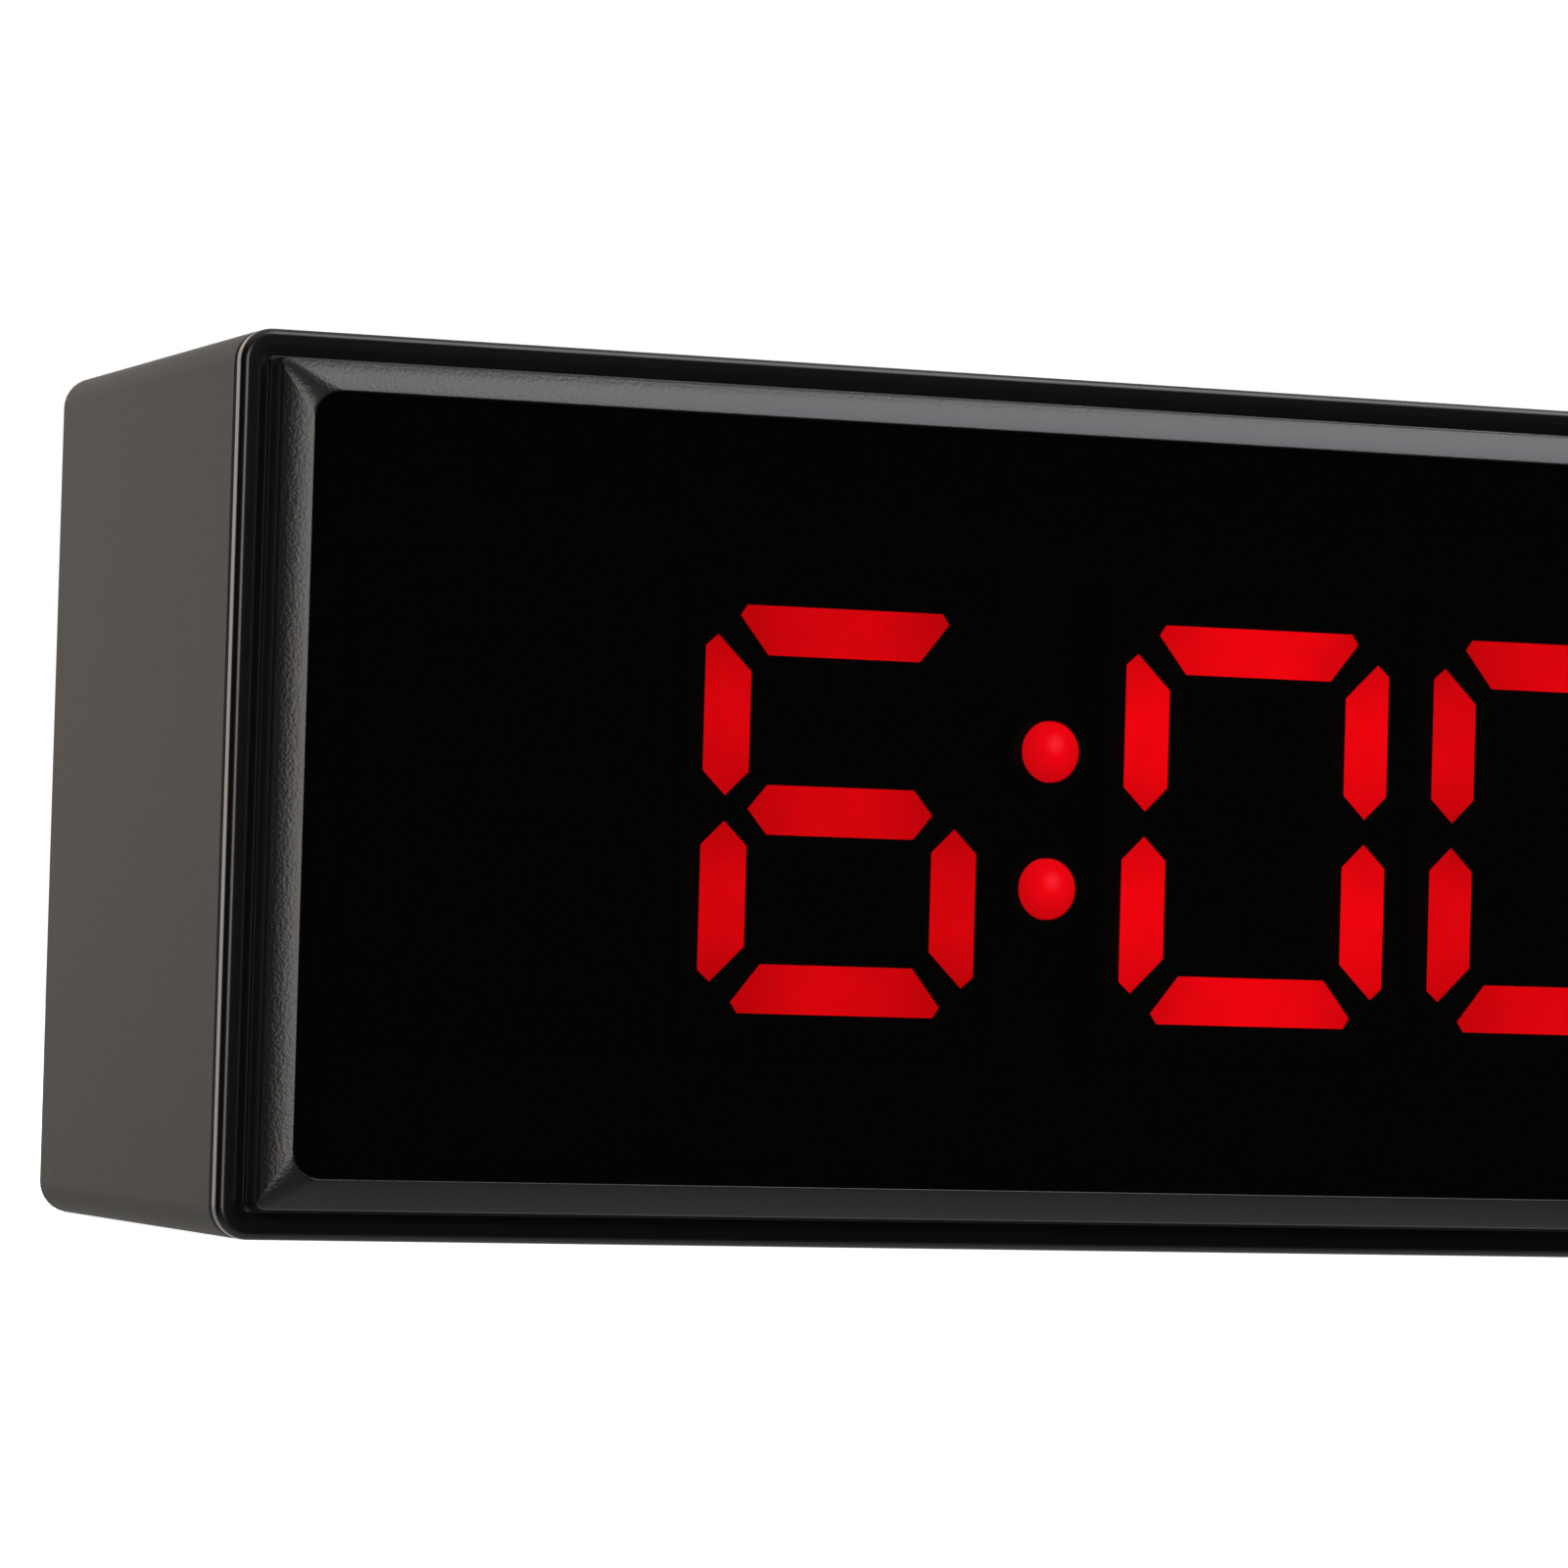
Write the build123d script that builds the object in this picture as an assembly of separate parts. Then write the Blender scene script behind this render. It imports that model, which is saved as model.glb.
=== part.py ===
from build123d import *
import os
from math import cos, radians

os.makedirs("parts", exist_ok=True)

# Gym round timer, in millimetres. +X is to the right of the display, +Y to the rear, +Z up.
# The origin is the middle of the flat base, and the display looks towards -Y.

# Case
width = 242.0
height = 124.0
depth = 95.0  # flat rim of the bezel to the rear face
wall = 2.5
corner_radius = 4.6
rear_edge_radius = 1.8
rib = 1.6

# Bezel, measured inwards from the edge and forwards from its flat rim
rim_plate = 2.4
rim_edge_radius = 1.1
rim_flat = 2.5
valley_width = 1.5
valley_depth = 0.5
ridge_corner_radius = 1.2
step_height = 4.3
step_draft = 3.0  # degrees
border = 8.6  # case edge to window opening
bezel_rise = 6.5
ridge_edge_radius = 0.8
lip_edge_radius = 0.6
opening_radius = 4.0
lip_height = 3.2  # rim plane to the back of the lip that holds the window
reveal = 1.2  # shadow gap between bezel and housing
pocket_radius = 1.0
spigot_wall = 1.5
slip = 0.15  # clearance round pieces that drop into one another
thread_slip = 0.05  # clearance of a thread or a shaft in its hole

# Window
window_overlap = 3.0
window_thickness = 3.0
tape_thickness = 0.3
tape_width = 2.4

# Case screws, which run the whole depth in corner posts
post_inset = 7.5
post_radius = 4.0
screw_radius = 1.5
screw_hole_radius = 1.7
screw_head_radius = 2.8
screw_head_height = 2.2
screw_recess = 2.8
screw_recess_clearance = 0.5
screw_slot = (3.2, 0.8)
screw_slot_depth = 1.2
screw_tip_gap = 1.0  # screw tip to the bottom of its insert hole
insert_radius = 2.3
insert_length = 6.0
boss_length = 9.1  # rim plate to the front of the housing's posts
ear_thickness = 2.0  # inner tray's ears, held between bosses and posts
ear_reach = 7.0

# Display
digit_height = 57.0
digit_width = 41.6
stroke = 6.9
segment_gap = 3.4
bar_tip = 1.6  # tip of a level bar, in from the middle of the uprights
bar_bevel = (1.0, 1.5)
upright_bevel = (1.85, 1.65)
upright_foot = 1.75  # inner tip of an upright, from the middle of the digit
centre_tip = 3.4  # tip of the middle bar, in from the middle of the uprights
centre_slope = 2.85
colon_space = 16.0  # between the two modules beside the colon
display_drop = 1.0  # middle of the digits below the middle of the case
module_width = 48.0
module_height = 70.0
module_depth = 12.0
module_spacing = 0.8
module_gap = 0.7  # window to digit faces
module_radius = 0.8
segment_depth = 8.0
pin_radius = 0.3
pin_hole_radius = 0.45
pin_pitch = 7.62
pin_length = 4.0
pins_per_row = 5
pin_row_inset = 4.5
colon_spacing = 19.5
colon_radius = 4.3
colon_dome = 0.6  # rise of the domed face
colon_flange_radius = 5.0
colon_flange = 1.0
colon_length = 6.0  # top of the dome to the board side of the flange
collar_radius = 6.0
receiver_size = (5.6, 6.8)
receiver_drop = 4.0  # digit modules to the middle of the receiver
receiver_sink = 5.0  # digit faces to the front of the receiver
receiver_eye = 2.4
board_thickness = 1.6
frame_plate = 2.0
frame_band_low = 11.4  # case edge to the opening of the inner tray
frame_band_high = 15.6
frame_side_slack = 0.6
frame_wall = 1.5
frame_corner_radius = 0.6
frame_post_radius = 2.9
frame_post_low = 3.2  # opening of the inner tray to its lower posts
frame_post_high = 4.0
board_screw_radius = 1.1
board_screw_head = (2.2, 1.8)  # radius and height
board_screw_length = 7.0
board_screw_hole = 8.0
board_hole_radius = 1.4
board_inset = 6.5
board_notch_gap = 1.0
driver_size = (10.0, 1.7, 4.0)
driver_lead = (0.4, 0.5, 6.0)
driver_leads = 8
driver_pitch = 1.27
header_height = 8.0
header_length = 18.0
header_width = 6.0
ribbon_y = -12.0
ribbon_drop = 1.0
ribbon_width = 12.7
ribbon_thickness = 0.9
ribbon_bend = 6.0

# Controls on the right side
button_y = -14.0
button_drop = 28.0  # top of the case to the first button
button_pitch = 18.0
button_radius = 5.0
button_clearance = 0.25
button_flange_width = 1.4
button_flange = 1.5
button_proud = 2.2
button_travel = 0.8
button_edge_radius = 0.7
button_stem_radius = 2.0
button_stop_gap = 0.1  # flange to the inside of the case
dish_radius = 18.0
dish_depth = 0.4
key_size = 6.0
key_height = 3.5
plunger_radius = 1.7
plunger_clearance = 0.1
plunger_sink = 0.5  # plunger foot inside the switch at rest
plunger_spare = 0.3  # pocket left under the foot of a pressed plunger
stem_gap = 1.5  # switch body to button stem
control_board_gap = 10.5  # inner side wall to the control board
control_board_front = -32.0
control_board_rear = 10.0
control_board_margin = 12.0
control_post_radius = 3.5
control_post_inset = (5.0, 4.0)  # from the board's edges along Y and Z
controller_size = (2.0, 10.0, 10.0)
controller_place = (-14.0, 15.0)  # Y, and Z above the middle of the case
capacitor_radius = 4.0
capacitor_length = 11.5
capacitor_y = -14.0
capacitor_z = (32.0, 42.0)
regulator_size = (4.6, 10.0, 9.0)
regulator_place = (3.0, 38.5)
sink_size = (9.0, 14.0, 21.0)
sink_plate = 2.0
sink_fins = 5
sink_fin = 1.4
slider_z = 20.0
slider_travel = 2.0  # each way from the middle
slider_knob = (2.4, 4.0)
slider_proud = 2.0
slider_opening = 0.4  # round the knob's path in the case
slider_edge = 0.4
slider_body_height = 5.0
slider_body_wall = 1.6
slider_body_slack = 0.3
slider_pocket = 2.5
slider_foot_gap = 0.3
rocker_y = 22.0
rocker_drop = 32.0
rocker_flange = (15.0, 21.0)
rocker_flange_height = 1.8
rocker_swing_radius = 8.1
rocker_half_width = 5.0
rocker_gap = 0.3
rocker_wall = 1.3
rocker_depth = 14.0
rocker_tilt = 11.0  # degrees each side of level
rocker_pivot_depth = 0.5  # below the outer face of the case
rocker_pin_radius = 1.2
rocker_pin_socket = 0.3  # wall left outside each end of the pivot pin
rocker_half_length = 7.2
rocker_hollow = 1.2
rocker_floor_gap = 0.6
rocker_flange_radius = 1.2
rocker_flange_edge = 0.5
tag_size = (6.0, 4.4, 0.8)
rocker_tag_pitch = 7.0
jack_y = 22.0
jack_z = 24.0
jack_radius = 5.4
jack_flange_radius = 7.0
jack_flange = 1.8
jack_depth = 15.0
jack_bore_radius = 2.8
jack_bore_depth = 10.5
jack_pin_radius = 1.05
jack_pin_sink = 1.0
jack_pin_tip = 0.5
jack_flange_edge = 0.6
jack_nut_radius = 8.2
jack_nut_height = 2.4
jack_tag_pitch = 5.0

# Sound
speaker_radius = 28.5
speaker_depth = 20.0
speaker_rim = 2.0
speaker_rim_width = 3.0
basket_sheet = 1.0
basket_hole_radius = 8.0
cone_radius = 23.0
surround_width = 2.4
surround_drop = 1.4
cone_sheet = 0.6
cone_foot_radius = 6.5
cone_foot_drop = 8.0
dust_cap_rise = 1.5
coil_radius = 6.4
coil_wall = 0.4
coil_gap = 1.2  # above the magnet
magnet_radius = 16.0
magnet_height = 8.0
speaker_post_radius = 2.6
speaker_post_height = 3.0
speaker_post_gap = 3.0  # speaker rim to the middle of a post
speaker_washer = (4.4, 1.0)
speaker_screw_head = (2.4, 1.6)
lead_radius = 0.7
lead_pitch = 3.0
lead_bend = 4.0
grille_radius = 22.0
grille_slot = 2.2
grille_pitch = 4.8
vent_slot = (2.2, 18.0)
vent_pitch = 6.5
vent_count = 7
vent_x = 76.0
vent_z = 30.0

# Wall fixing
keyhole_spacing = 160.0
keyhole_drop = 32.0
keyhole_radius = 4.5
keyhole_neck = 4.6
keyhole_rise = 9.0

# Places worked out from the sizes
front = -depth / 2
rear = depth / 2
middle = height / 2
inner_rear = rear - wall
side = width / 2
inner_side = side - wall
seam = front + rim_plate
housing_front = seam + reveal
spigot_inset = wall + slip
pocket_inset = border - window_overlap - slip
window_inset = border - window_overlap
window_front = front - lip_height + tape_thickness
window_rear = window_front + window_thickness
post_front = seam + boss_length
ear_front = post_front - ear_thickness
display_z = middle - display_drop
digit_front = window_rear + module_gap
module_rear = digit_front + module_depth
board_rear = module_rear + board_thickness
inner_digit = (colon_space + module_width) / 2
outer_digit = inner_digit + module_width + module_spacing
digit_x = [-outer_digit, -inner_digit, inner_digit, outer_digit]
display_half = outer_digit + module_width / 2
opening_low = frame_band_low
opening_high = height - frame_band_high
frame_front = window_rear + slip
frame_inset = pocket_inset + slip
control_face = inner_side - control_board_gap
control_board_low = control_board_margin
control_board_high = height - control_board_margin
rocker_z = height - rocker_drop
keyhole_z = height - keyhole_drop
button_z = [height - button_drop - i * button_pitch for i in range(4)]
button_names = ["start", "reset", "round", "rest"]
corners = [
    (sx * (side - post_inset), middle + sz * (middle - post_inset))
    for sx in (-1, 1)
    for sz in (-1, 1)
]
frame_posts = [
    (x, z)
    for x in (-outer_digit, 0.0, outer_digit)
    for z in (opening_low - frame_post_low, opening_high + frame_post_high)
]
control_posts = [
    (y, z)
    for y in (
        control_board_front + control_post_inset[0],
        control_board_rear - control_post_inset[0],
    )
    for z in (
        control_board_low + control_post_inset[1],
        control_board_high - control_post_inset[1],
    )
]
speaker_reach = (speaker_radius + speaker_post_gap) * cos(radians(45))
speaker_posts = [
    (sx * speaker_reach, middle + sz * speaker_reach) for sx in (-1, 1) for sz in (-1, 1)
]
speaker_back = inner_rear - speaker_depth
colon_z = [display_z + sign * colon_spacing / 2 for sign in (1, -1)]
colon_back = digit_front + colon_length
colon_foot = colon_back - colon_flange
receiver_front = digit_front + receiver_sink
receiver_z = display_z - module_height / 2 - receiver_drop
board_back = control_face - board_thickness
rocker_pivot_x = side - rocker_pivot_depth
jack_mouth = side + jack_flange
ribbon_z = display_z - ribbon_drop
ribbon_x = inner_digit + module_width / 2
stem_end = control_face + key_height + stem_gap


def save(node, *shapes):
    """Writes one node. Several shapes stay separate solids in it."""
    solids = [solid for shape in shapes for solid in shape.solids()]
    whole = solids[0] if len(solids) == 1 else Compound(children=solids)
    whole.label = node
    export_step(whole, f"parts/{node}.step")


def slab(sketch, start, end):
    """A sketch drawn in X and Z, made solid from start to end along Y."""
    plane = Plane(origin=(0, end, 0), x_dir=(1, 0, 0), z_dir=(0, -1, 0))
    return extrude(plane * sketch, amount=end - start)


def panel(inset, radius, start, end):
    """A slab with the outline of the case, drawn in by inset."""
    outline = RectangleRounded(width - 2 * inset, height - 2 * inset, radius)
    return slab(Pos(0, middle) * outline, start, end)


def block(x, y, z):
    """A box between two values along each axis."""
    size = [end - start for start, end in (x, y, z)]
    centre = [(start + end) / 2 for start, end in (x, y, z)]
    return Pos(*centre) * Box(*size)


def rod_y(radius, start, end, x, z):
    return slab(Pos(x, z) * Circle(radius), start, end)


def side_slab(sketch, start, end, y=0.0, z=0.0):
    """A sketch drawn in Y and Z, made solid from start to end along X."""
    plane = Plane(origin=(start, y, z), x_dir=(0, 1, 0), z_dir=(1, 0, 0))
    return extrude(plane * sketch, amount=end - start)


def rod_x(radius, start, end, y, z):
    return side_slab(Circle(radius), start, end, y, z)


# Case


def keyhole(x):
    """Entry hole for a screw head, with a neck above it for the shank."""
    entry = Pos(x, keyhole_z) * Circle(keyhole_radius)
    neck = Pos(x, keyhole_z + keyhole_rise / 2) * Rectangle(keyhole_neck, keyhole_rise)
    end = Pos(x, keyhole_z + keyhole_rise) * Circle(keyhole_neck / 2)
    return entry + neck + end


def grille():
    """Level sound slots cut to a circle behind the loudspeaker."""
    rows = int(grille_radius // grille_pitch)
    slots = Sketch()
    for row in range(-rows, rows + 1):
        offset = row * grille_pitch
        length = 2 * (grille_radius**2 - offset**2) ** 0.5
        slots += Pos(0, middle + offset) * SlotOverall(length, grille_slot)
    return slots


def vents(centre):
    slots = Sketch()
    for i in range(vent_count):
        x = centre + (i - (vent_count - 1) / 2) * vent_pitch
        slots += Pos(x, vent_z) * SlotOverall(vent_slot[1], vent_slot[0], rotation=90)
    return slots


def rocker_sketch(grow=0.0):
    """Outline of the switch body that goes through the side wall."""
    across = 2 * (rocker_half_width + rocker_gap + rocker_wall + grow)
    along = 2 * (rocker_swing_radius + rocker_gap + rocker_wall + grow)
    return Rectangle(across, along)


def slider_path(grow):
    """Outline swept by the volume knob, with room all round."""
    return Rectangle(slider_knob[0] + 2 * grow, slider_knob[1] + 2 * (slider_travel + grow))


def housing():
    """Deep tub moulded in one piece, open at the front."""
    tub = panel(0, corner_radius, housing_front, rear)
    back_edges = tub.edges().group_by(Axis.Y)[-1]
    tub = fillet(back_edges, rear_edge_radius)
    tub -= panel(wall, corner_radius - wall, housing_front, inner_rear)
    cavity = panel(wall, corner_radius - wall, housing_front, inner_rear)
    for x, z in corners:
        post = rod_y(post_radius, post_front, inner_rear, x, z)
        toward = (1 if x > 0 else -1, 1 if z > middle else -1)
        web_x = sorted((x, toward[0] * inner_side))
        web_z = sorted((z, middle + toward[1] * (middle - wall)))
        web = block(web_x, (post_front, inner_rear), (z - rib, z + rib))
        web += block((x - rib, x + rib), (post_front, inner_rear), web_z)
        tub += (post + web) & cavity
        tub -= rod_y(screw_hole_radius, post_front, rear, x, z)
        tub -= rod_y(screw_head_radius + screw_recess_clearance, rear - screw_recess, rear, x, z)
    for y, z in control_posts:
        tub += rod_x(control_post_radius, control_face, inner_side, y, z)
        tub -= rod_x(board_screw_radius, control_face, control_face + board_screw_hole, y, z)
    for x, z in speaker_posts:
        start = inner_rear - speaker_post_height
        tub += rod_y(speaker_post_radius, start, inner_rear, x, z)
        tub -= rod_y(board_screw_radius, start, inner_rear + 1, x, z)
    holes = keyhole(-keyhole_spacing / 2) + keyhole(keyhole_spacing / 2)
    holes += grille() + vents(-vent_x) + vents(vent_x)
    tub -= slab(holes, inner_rear, rear)
    for z in button_z:
        tub -= rod_x(button_radius + button_clearance, inner_side, side, button_y, z)
    tub -= side_slab(slider_path(slider_opening), inner_side, side, button_y, slider_z)
    tub -= side_slab(rocker_sketch(slip), inner_side, side, rocker_y, rocker_z)
    tub -= rod_x(jack_radius + slip, inner_side, side, jack_y, jack_z)
    return tub


def around_opening(point):
    """True on the edge of the window opening, and not on the mitre lines that run to it."""
    from_side = side - abs(point.X)
    from_end = middle - abs(point.Z - middle)
    return min(from_side, from_end) < border + 1.5


def bezel():
    """Front frame: flat rim, narrow valley, then a raised bevelled border round the window."""
    rim = panel(0, corner_radius, front, seam)
    rim = fillet(rim.edges().group_by(Axis.Y)[0], rim_edge_radius)
    ridge = rim_flat + valley_width
    rim -= panel(rim_flat, corner_radius - rim_flat, front, front + valley_depth)
    outline = RectangleRounded(width - 2 * ridge, height - 2 * ridge, ridge_corner_radius)
    base = Plane(origin=(0, front + valley_depth, 0), x_dir=(1, 0, 0), z_dir=(0, -1, 0))
    foot = base * Pos(0, middle) * outline
    step = extrude(foot, amount=step_height + valley_depth, taper=step_draft)
    drawn_in = step.faces().sort_by(Axis.Y)[0]
    size = drawn_in.bounding_box().size
    step_top = front - step_height
    slope = (bezel_rise - step_height) / (border - (width - size.X) / 2)
    reach = border + opening_radius - (width - size.X) / 2
    top_plane = Plane(
        origin=(0, front - step_height - slope * reach, middle),
        x_dir=(1, 0, 0),
        z_dir=(0, -1, 0),
    )
    top = RectangleRounded(size.X - 2 * reach, size.Z - 2 * reach, ridge_corner_radius / 2)
    bevel = loft([drawn_in, (top_plane * top).face()], ruled=True)
    body = rim + step + bevel
    ridge_edges = body.edges().filter_by(lambda e: abs(e.center().Y - step_top) < 0.01)
    body = fillet(ridge_edges, ridge_edge_radius)
    body -= panel(border, opening_radius, front - 2 * bezel_rise, seam)
    lip_edges = body.edges().filter_by(
        lambda e: e.center().Y < front - bezel_rise + 0.01 and around_opening(e.center())
    )
    body = fillet(lip_edges, lip_edge_radius)
    body -= panel(pocket_inset, pocket_radius, front - lip_height, seam)
    spigot = panel(spigot_inset, corner_radius - spigot_inset, seam - rib, post_front)
    spigot -= panel(spigot_inset + spigot_wall, pocket_radius, seam - rib, post_front)
    body += spigot
    bound = panel(spigot_inset, corner_radius - spigot_inset, window_rear + slip, post_front)
    for x, z in corners:
        body += rod_y(post_radius, window_rear + slip, ear_front, x, z) & bound
    for x, z in corners:
        body -= rod_y(insert_radius, ear_front - insert_length, ear_front, x, z)
    return body


def window():
    return panel(window_inset, pocket_radius, window_front, window_rear)


def window_tape():
    outer = panel(window_inset, pocket_radius, front - lip_height, window_front)
    inner = panel(window_inset + tape_width, pocket_radius, front - lip_height, window_front)
    return outer - inner


def case_screws():
    screws = []
    for x, z in corners:
        head_front = rear - screw_recess
        head_rear = head_front + screw_head_height
        tip = ear_front - insert_length + screw_tip_gap
        screw = rod_y(screw_head_radius, head_front, head_rear, x, z)
        screw += rod_y(screw_radius, tip, head_front, x, z)
        slot = Rectangle(*screw_slot) + Rectangle(*reversed(screw_slot))
        screw -= slab(Pos(x, z) * slot, head_rear - screw_slot_depth, head_rear)
        screws.append(screw)
    return screws


def case_inserts():
    inserts = []
    for x, z in corners:
        start = ear_front - insert_length + slip
        sleeve = rod_y(insert_radius - thread_slip, start, ear_front, x, z)
        inserts.append(sleeve - rod_y(screw_radius + thread_slip, start, ear_front, x, z))
    return inserts


# Display


def display_frame():
    """Tray that holds the window from behind and carries the display board."""
    tray = panel(frame_inset, frame_corner_radius, frame_front, post_front)
    inner = frame_inset + frame_wall
    tray -= panel(inner, frame_corner_radius, frame_front + frame_plate, post_front)
    half = display_half + frame_side_slack
    tray -= block((-half, half), (frame_front, post_front), (opening_low, opening_high))
    for x, z in corners:
        tray -= rod_y(post_radius + 2 * slip, frame_front, post_front, x, z)
    bound = panel(frame_inset, frame_corner_radius, ear_front, post_front)
    for x, z in corners:
        ear = block(
            (x - ear_reach, x + ear_reach),
            (ear_front, post_front),
            (z - ear_reach, z + ear_reach),
        )
        ear &= bound
        tray += ear - rod_y(screw_hole_radius, ear_front, post_front, x, z)
    for x, z in frame_posts:
        tray += rod_y(frame_post_radius, frame_front, module_rear, x, z)
        tray -= rod_y(board_screw_radius, module_rear - board_screw_hole, module_rear, x, z)
    return tray


def segment_shapes():
    """The seven segments round (0, 0): top, bottom, four uprights and the middle bar."""
    half = stroke / 2
    across = (digit_width - stroke) / 2
    up = (digit_height - stroke) / 2
    mitre = segment_gap / 2**0.5
    tip = across - bar_tip
    bar = [
        (tip - bar_bevel[0], half),
        (tip, half - bar_bevel[1]),
        (across - mitre - half, -half),
    ]
    bar += [(-x, z) for x, z in reversed(bar)]
    top = up - mitre + half - upright_bevel[0]
    upright = [
        (-half, top - upright_bevel[1]),
        (-half + upright_bevel[0], top),
        (half, up - mitre - half),
        (half, upright_foot + half),
        (0, upright_foot),
        (-half, upright_foot + half),
    ]
    reach = across - centre_tip
    shoulder = reach - centre_slope
    centre = [
        (reach, 0), (shoulder, half), (-shoulder, half),
        (-reach, 0), (-shoulder, -half), (shoulder, -half),
    ]
    outlines = {
        "a": [(x, z + up) for x, z in bar],
        "d": [(x, -z - up) for x, z in bar],
        "f": [(x - across, z) for x, z in upright],
        "b": [(across - x, z) for x, z in upright],
        "e": [(x - across, -z) for x, z in upright],
        "c": [(across - x, -z) for x, z in upright],
        "g": centre,
    }
    return {name: make_face(Polyline(*points, close=True)) for name, points in outlines.items()}


segments = segment_shapes()


def digit_case(x):
    """Reflector block of one digit, with a light well for each segment."""
    outline = Pos(x, display_z) * RectangleRounded(module_width, module_height, module_radius)
    case = slab(outline, digit_front, module_rear)
    for shape in segments.values():
        well = offset(shape, slip / 3, kind=Kind.INTERSECTION)
        case -= slab(Pos(x, display_z) * well, digit_front, digit_front + segment_depth)
    return case


def digit_segments(x):
    return [
        slab(Pos(x, display_z) * shape, digit_front + slip, digit_front + segment_depth)
        for shape in segments.values()
    ]


def pin_places():
    places = []
    for x in digit_x:
        for row in (-1, 1):
            z = display_z + row * (module_height / 2 - pin_row_inset)
            for i in range(pins_per_row):
                places.append((x + (i - (pins_per_row - 1) / 2) * pin_pitch, z))
    return places


def colon_lamp(z):
    """Diffused lamp with a flange at its foot."""
    ball_radius = (colon_radius**2 + colon_dome**2) / (2 * colon_dome)
    ball = Pos(0, digit_front + ball_radius, z) * Sphere(ball_radius)
    lamp = rod_y(colon_radius, digit_front, colon_back, 0, z) & ball
    return lamp + rod_y(colon_flange_radius, colon_foot, colon_back, 0, z)


def colon_collar(z):
    """Sleeve on the board, with a step inside that holds the lamp's flange."""
    collar = rod_y(collar_radius, digit_front + colon_dome, module_rear, 0, z)
    collar -= rod_y(colon_radius + slip, digit_front, colon_foot, 0, z)
    return collar - rod_y(colon_flange_radius + slip, colon_foot, module_rear, 0, z)


def colon_leds():
    """Two round diffused lamps with low domed faces, level with the digits."""
    return [colon_lamp(z) for z in colon_z]


def colon_spacers():
    """Black collars that hold the two lamps and hide their sides."""
    return [colon_collar(z) for z in colon_z]


def ir_receiver():
    """Remote control receiver with a domed eye, standing on the display board."""
    across, along = receiver_size
    body = slab(Pos(0, receiver_z) * Rectangle(across, along), receiver_front, module_rear)
    return body + Pos(0, receiver_front, receiver_z) * Sphere(receiver_eye)


def display_board():
    outline = Rectangle(width - 2 * board_inset, height - 2 * board_inset)
    board = slab(Pos(0, middle) * outline, module_rear, board_rear)
    notch = post_inset + post_radius + board_notch_gap - board_inset
    for sx in (-1, 1):
        for sz in (-1, 1):
            x = sx * (side - board_inset)
            z = middle + sz * (middle - board_inset)
            board -= block(
                sorted((x, x - sx * notch)),
                (module_rear, board_rear),
                sorted((z, z - sz * notch)),
            )
    for x, z in frame_posts:
        board -= rod_y(board_hole_radius, module_rear, board_rear, x, z)
    for x, z in pin_places():
        board -= rod_y(pin_hole_radius, module_rear, board_rear, x, z)
    return board


def digit_pins():
    return [
        rod_y(pin_radius, module_rear, module_rear + pin_length, x, z) for x, z in pin_places()
    ]


def board_screws():
    screws = []
    head_radius, head_height = board_screw_head
    shank_radius = board_screw_radius - thread_slip
    for x, z in frame_posts:
        head = rod_y(head_radius, board_rear, board_rear + head_height, x, z)
        shank = rod_y(shank_radius, module_rear - board_screw_length, board_rear, x, z)
        screws.append(head + shank)
    return screws


def centred_block(x, start, z, size):
    """A box centred on x and z that stands up from start along Y."""
    across, depth_y, along = size
    return slab(Pos(x, z) * Rectangle(across, along), start, start + depth_y)


def driver_chips():
    """Four surface-mounted segment drivers, one behind each digit."""
    chips = []
    for x in digit_x:
        chip = centred_block(x, board_rear, display_z, driver_size)
        for i in range(driver_leads):
            lead_x = x + (i - (driver_leads - 1) / 2) * driver_pitch
            chip += centred_block(lead_x, board_rear, display_z, driver_lead)
        chips.append(chip)
    return chips


# Control electronics


def control_board():
    board = block(
        (board_back, control_face),
        (control_board_front, control_board_rear),
        (control_board_low, control_board_high),
    )
    for y, z in control_posts:
        board -= rod_x(board_hole_radius, board_back, control_face, y, z)
    return board


def control_board_screws():
    screws = []
    head_radius, head_height = board_screw_head
    shank_radius = board_screw_radius - thread_slip
    for y, z in control_posts:
        head = rod_x(head_radius, board_back - head_height, board_back, y, z)
        shank = rod_x(shank_radius, board_back, control_face + board_screw_length, y, z)
        screws.append(head + shank)
    return screws


def key_switches():
    """Four small push switches under the buttons."""
    switches = []
    top = control_face + key_height
    pocket = plunger_sink + button_travel + plunger_spare
    for z in button_z:
        body = side_slab(Rectangle(key_size, key_size), control_face, top, button_y, z)
        body -= rod_x(plunger_radius + plunger_clearance, top - pocket, top, button_y, z)
        switches.append(body)
    return switches


def key_plunger(z):
    foot = control_face + key_height - plunger_sink
    return rod_x(plunger_radius, foot, stem_end, button_y, z)


def button_cap(z):
    """Round cap with a dished face, a stem and a flange that keeps it in the case."""
    flange_end = inner_side - button_stop_gap
    flange_start = flange_end - button_flange
    face = side + button_proud
    cap = rod_x(button_radius, flange_start, face, button_y, z)
    cap = fillet(cap.edges().sort_by(Axis.X)[-1], button_edge_radius)
    cap += rod_x(button_radius + button_flange_width, flange_start, flange_end, button_y, z)
    cap += rod_x(button_stem_radius, stem_end, flange_start, button_y, z)
    return cap - Pos(face - dish_depth + dish_radius, button_y, z) * Sphere(dish_radius)


def volume_switch_body():
    """Three-position slide switch on the control board."""
    top = control_face + slider_body_height
    outline = slider_path(slider_body_wall)
    pocket = slider_path(slider_body_slack)
    body = side_slab(outline, control_face, top, button_y, slider_z)
    return body - side_slab(pocket, control_face + slider_pocket, top, button_y, slider_z)


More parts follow.
